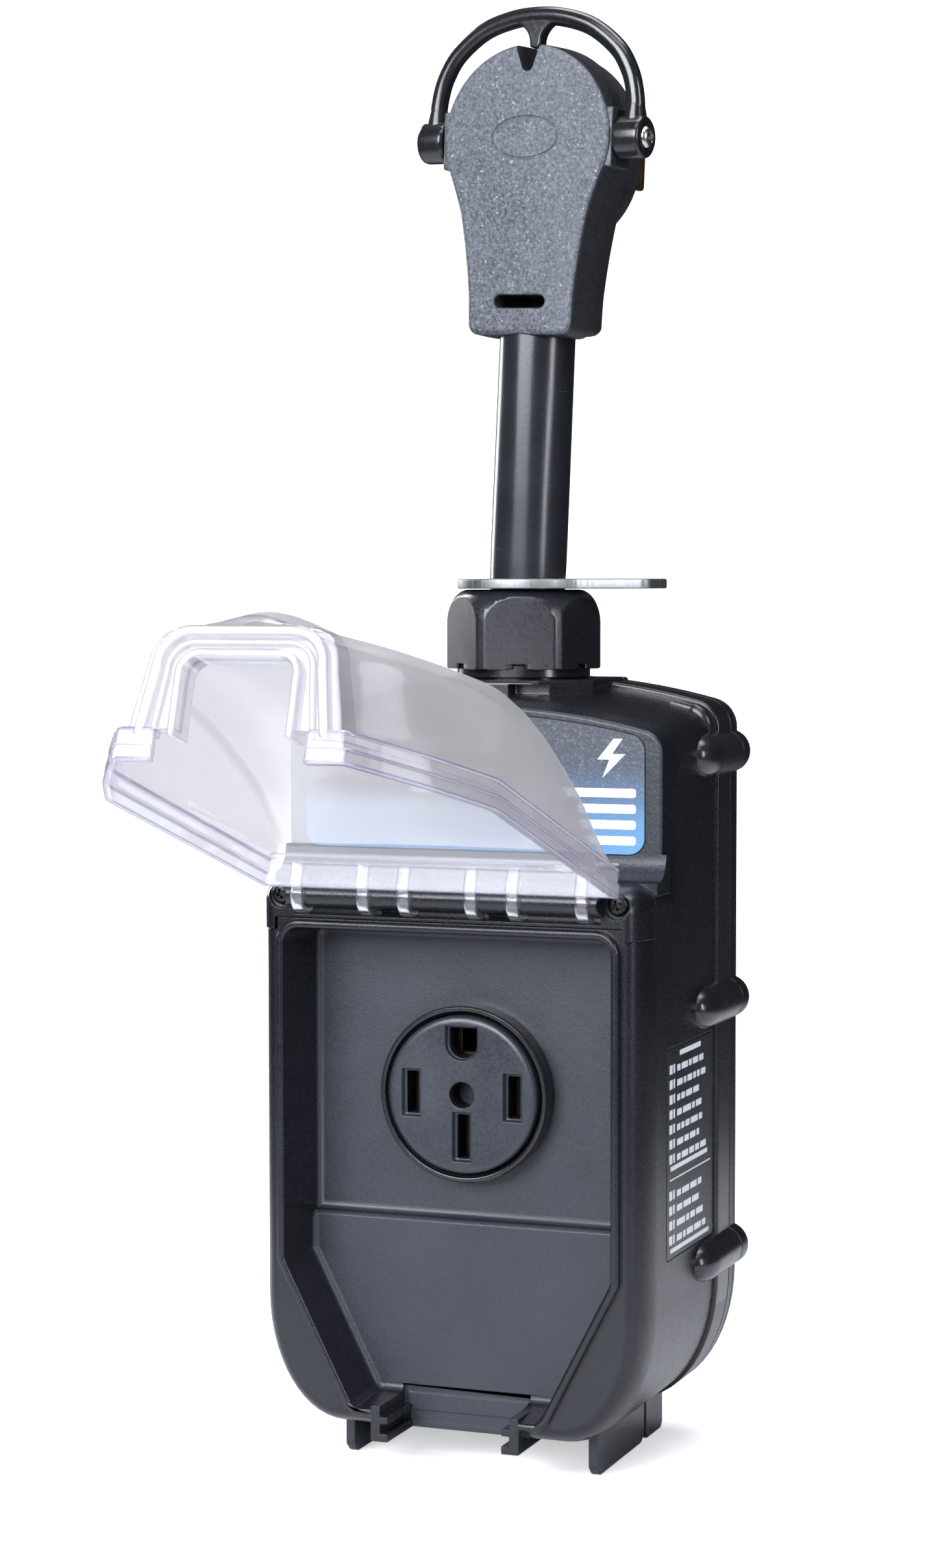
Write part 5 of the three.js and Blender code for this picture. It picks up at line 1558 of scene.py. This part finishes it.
TO_LID = (TO_METRES @ LID).inverted()
CLEAR = "clear_polycarbonate"
cover = skin("clear_cover", cover_body(), "cover", "clear_cover_pc", CLEAR, place=LID, sharp=38)
repaint(cover, ["clear_cover_edges", "clear_cover_front_wall", "clear_cover_end"], cover_slot)
cord_frame = joined(
    cord_band(),
    hood_frame(foot_width=30.6, top_width=27.4, top=41.4, radius=11.5, thick=3.0, start=171.2,
               end=175.9, edge=0.7),
    hood_frame(foot_width=25.8, top_width=23.6, top=37.4, radius=9.0, thick=1.6, start=172.2,
               end=175.0, edge=0.5))
piece("clear_cover_cord_frame", cord_frame, "cover", "clear_cover_frame", CLEAR, place=LID,
      sharp=45)
piece("clear_cover_edge_lines", edge_lines(), "cover", "clear_cover_lines", CLEAR, place=LID,
      sharp=60, weighted=False)
piece("clear_cover_hooks", hooks(), "cover", "clear_cover_hook", CLEAR, place=LID, sharp=45)

# ---------------------------------------------------------------- CAD nodes that stay
FINISH = {
    "case_gasket": "black_rubber", "gland_seal": "black_rubber", "gland_locknut": "black_nylon",
    "receptacle_body": "receptacle_thermoset", "circuit_board": "circuit_board",
    "relay_left": "relay_case", "relay_right": "relay_case", "transformer": "enamelled_copper",
    "terminal_block": "terminal_green", "display_window": "smoked_window",
    "display_module": "relay_case",
}


def finish_of(node):
    if node.startswith("varistor"):
        return "varistor_epoxy"
    if node.startswith("contact"):
        return "worn_contact"
    if node.startswith("conductor"):
        return "wire" + node[len("conductor"):]
    return FINISH.get(node)


for name, ob in frame["nodes"].items():
    finish = finish_of(name)
    if finish is None:
        continue
    ob.data.materials.clear()
    ob.data.materials.append(MATERIALS[finish])
    for face in ob.data.polygons:
        face.material_index = 0
    if not name.startswith("conductor"):
        bevel = ob.modifiers.new("edges", "BEVEL")
        bevel.width = 0.0003
        bevel.segments = 2
        bevel.limit_method = "ANGLE"
        bevel.angle_limit = 50 * RAD


# ---------------------------------------------------------------- stage (metres from here on)
def stage_material():
    """A floor that looks near white, but bounces light only close to the case."""
    nodes = Nodes("pale_floor")
    grain = nodes.noise(scale=40, detail=4.0, rough=0.6)
    seen = nodes.seen_directly()
    place = nodes.position()
    off_y = nodes.math("SUBTRACT", place["Y"], SHIFT.y)
    away = nodes.math("SQRT", nodes.plus(nodes.math("POWER", place["X"], 2.0),
                                         nodes.math("POWER", off_y, 2.0)))
    bounce = nodes.mix(nodes.ramp(away, (0.28, 0.8), smooth=True),
                       (0.72, 0.73, 0.76), (0.03, 0.03, 0.032))
    pale = nodes.mix(nodes.ramp(grain, MIDDLE), (0.86, 0.86, 0.86), (0.89, 0.89, 0.89))
    floor = nodes.principled(Base_Color=nodes.mix(seen, bounce, pale), Roughness=0.8)
    strength = nodes.ramp(away, (0.35, 1.3), (0.5, 1.1), smooth=True)
    glow = nodes.add("Emission", {"Color": (1, 1, 1), "Strength": strength})
    dark = nodes.add("Emission", {"Strength": 0.0})
    nodes.finish(nodes.add("AddShader", {0: floor, 1: nodes.mix_shader(seen, dark, glow)}))


def stage_sweep():
    """A wide floor that curves up into a wall behind the case."""
    half_width, bend = 12, 1.6
    profile = [(-14.0, 0.0), (bend, 0.0)]
    profile += [(bend + bend * sin(a), bend - bend * cos(a)) for a in range(6, 91, 6)]
    profile += [(2 * bend, 5.0)]
    build = bmesh.new()
    left, right = [[build.verts.new((x, y, z)) for y, z in profile]
                   for x in (-half_width, half_width)]
    for i in range(len(profile) - 1):
        build.faces.new((left[i], right[i], right[i + 1], left[i + 1]))
    mesh = bpy.data.meshes.new("stage_sweep")
    bmesh.ops.recalc_face_normals(build, faces=build.faces)
    build.to_mesh(mesh)
    build.free()
    for face in mesh.polygons:
        face.use_smooth = True
    mesh.materials.append(MATERIALS["pale_floor"])
    return add_object("stage_sweep", mesh)


def studio_world():
    """White where it is seen, and a dim blue as a source of light."""
    nodes = Nodes("studio", world=True)
    dim = nodes.add("Background", {"Color": (0.82, 0.88, 1.0), "Strength": 0.085})
    bright = nodes.add("Background", {"Color": (1, 1, 1), "Strength": 1.0})
    nodes.finish(nodes.mix_shader(nodes.seen_directly(), dim, bright))
    bpy.context.scene.world = nodes.owner


stage_material()
stage_sweep()
studio_world()

# ---------------------------------------------------------------- lights
# Name, place and aim from the gland's axis, (width, height), power (W), colour.
SOFTBOXES = [
    ("key", (-0.42, -1.88, 1.02), (0, 0, 0.32), (1.6, 1.15), 88, (0.90, 0.94, 1.0)),
    ("front_top", (0.35, -1.0, 2.0), (0, 0, 0.2), (1.3, 0.5), 10, (0.92, 0.95, 1.0)),
    ("right_strip", (1.7, -0.8, 0.7), (0, 0, 0.2), (0.3, 1.1), 16, (0.90, 0.94, 1.0)),
    ("top", (0.1, 0.25, 1.9), (0, 0, 0.2), (1.4, 0.9), 22, (0.94, 0.96, 1.0)),
    ("back_left", (-1.5, 0.9, 0.9), (0, 0, 0.25), (0.5, 1.4), 25, (0.94, 0.96, 1.0)),
]
for name, place, aim, size, power, colour in SOFTBOXES:
    light = bpy.data.lights.new(name, "AREA")
    light.shape = "RECTANGLE"
    light.size, light.size_y = size
    light.energy = power
    light.color = colour
    ob = add_object(name, light)
    ob.location = Vector(place) + SHIFT
    ob.visible_camera = False
    ob.rotation_euler = (Vector(aim) - Vector(place)).to_track_quat("-Z", "Y").to_euler()

# ---------------------------------------------------------------- camera
lens = bpy.data.cameras.new("camera")
camera = add_object("camera", lens)
forward = Vector((-0.3581, 0.9316, -0.0616)).normalized()
right = Vector((0.9334, 0.3588, -0.0009))
right = (right - forward * right.dot(forward)).normalized()
up = right.cross(forward)
eye = Vector((0.39346, -1.07739, 0.30096)) + SHIFT
camera.matrix_world = Matrix((
    (right.x, up.x, -forward.x, eye.x), (right.y, up.y, -forward.y, eye.y),
    (right.z, up.z, -forward.z, eye.z), (0, 0, 0, 1)))
lens.sensor_fit = "VERTICAL"
lens.sensor_height = 36
lens.sensor_width = 36
lens.lens = 74.74
lens.clip_start = 0.01
lens.clip_end = 50
bpy.context.scene.camera = camera
bpy.context.scene.view_settings.view_transform = "Standard"
bpy.context.scene.view_settings.look = "None"
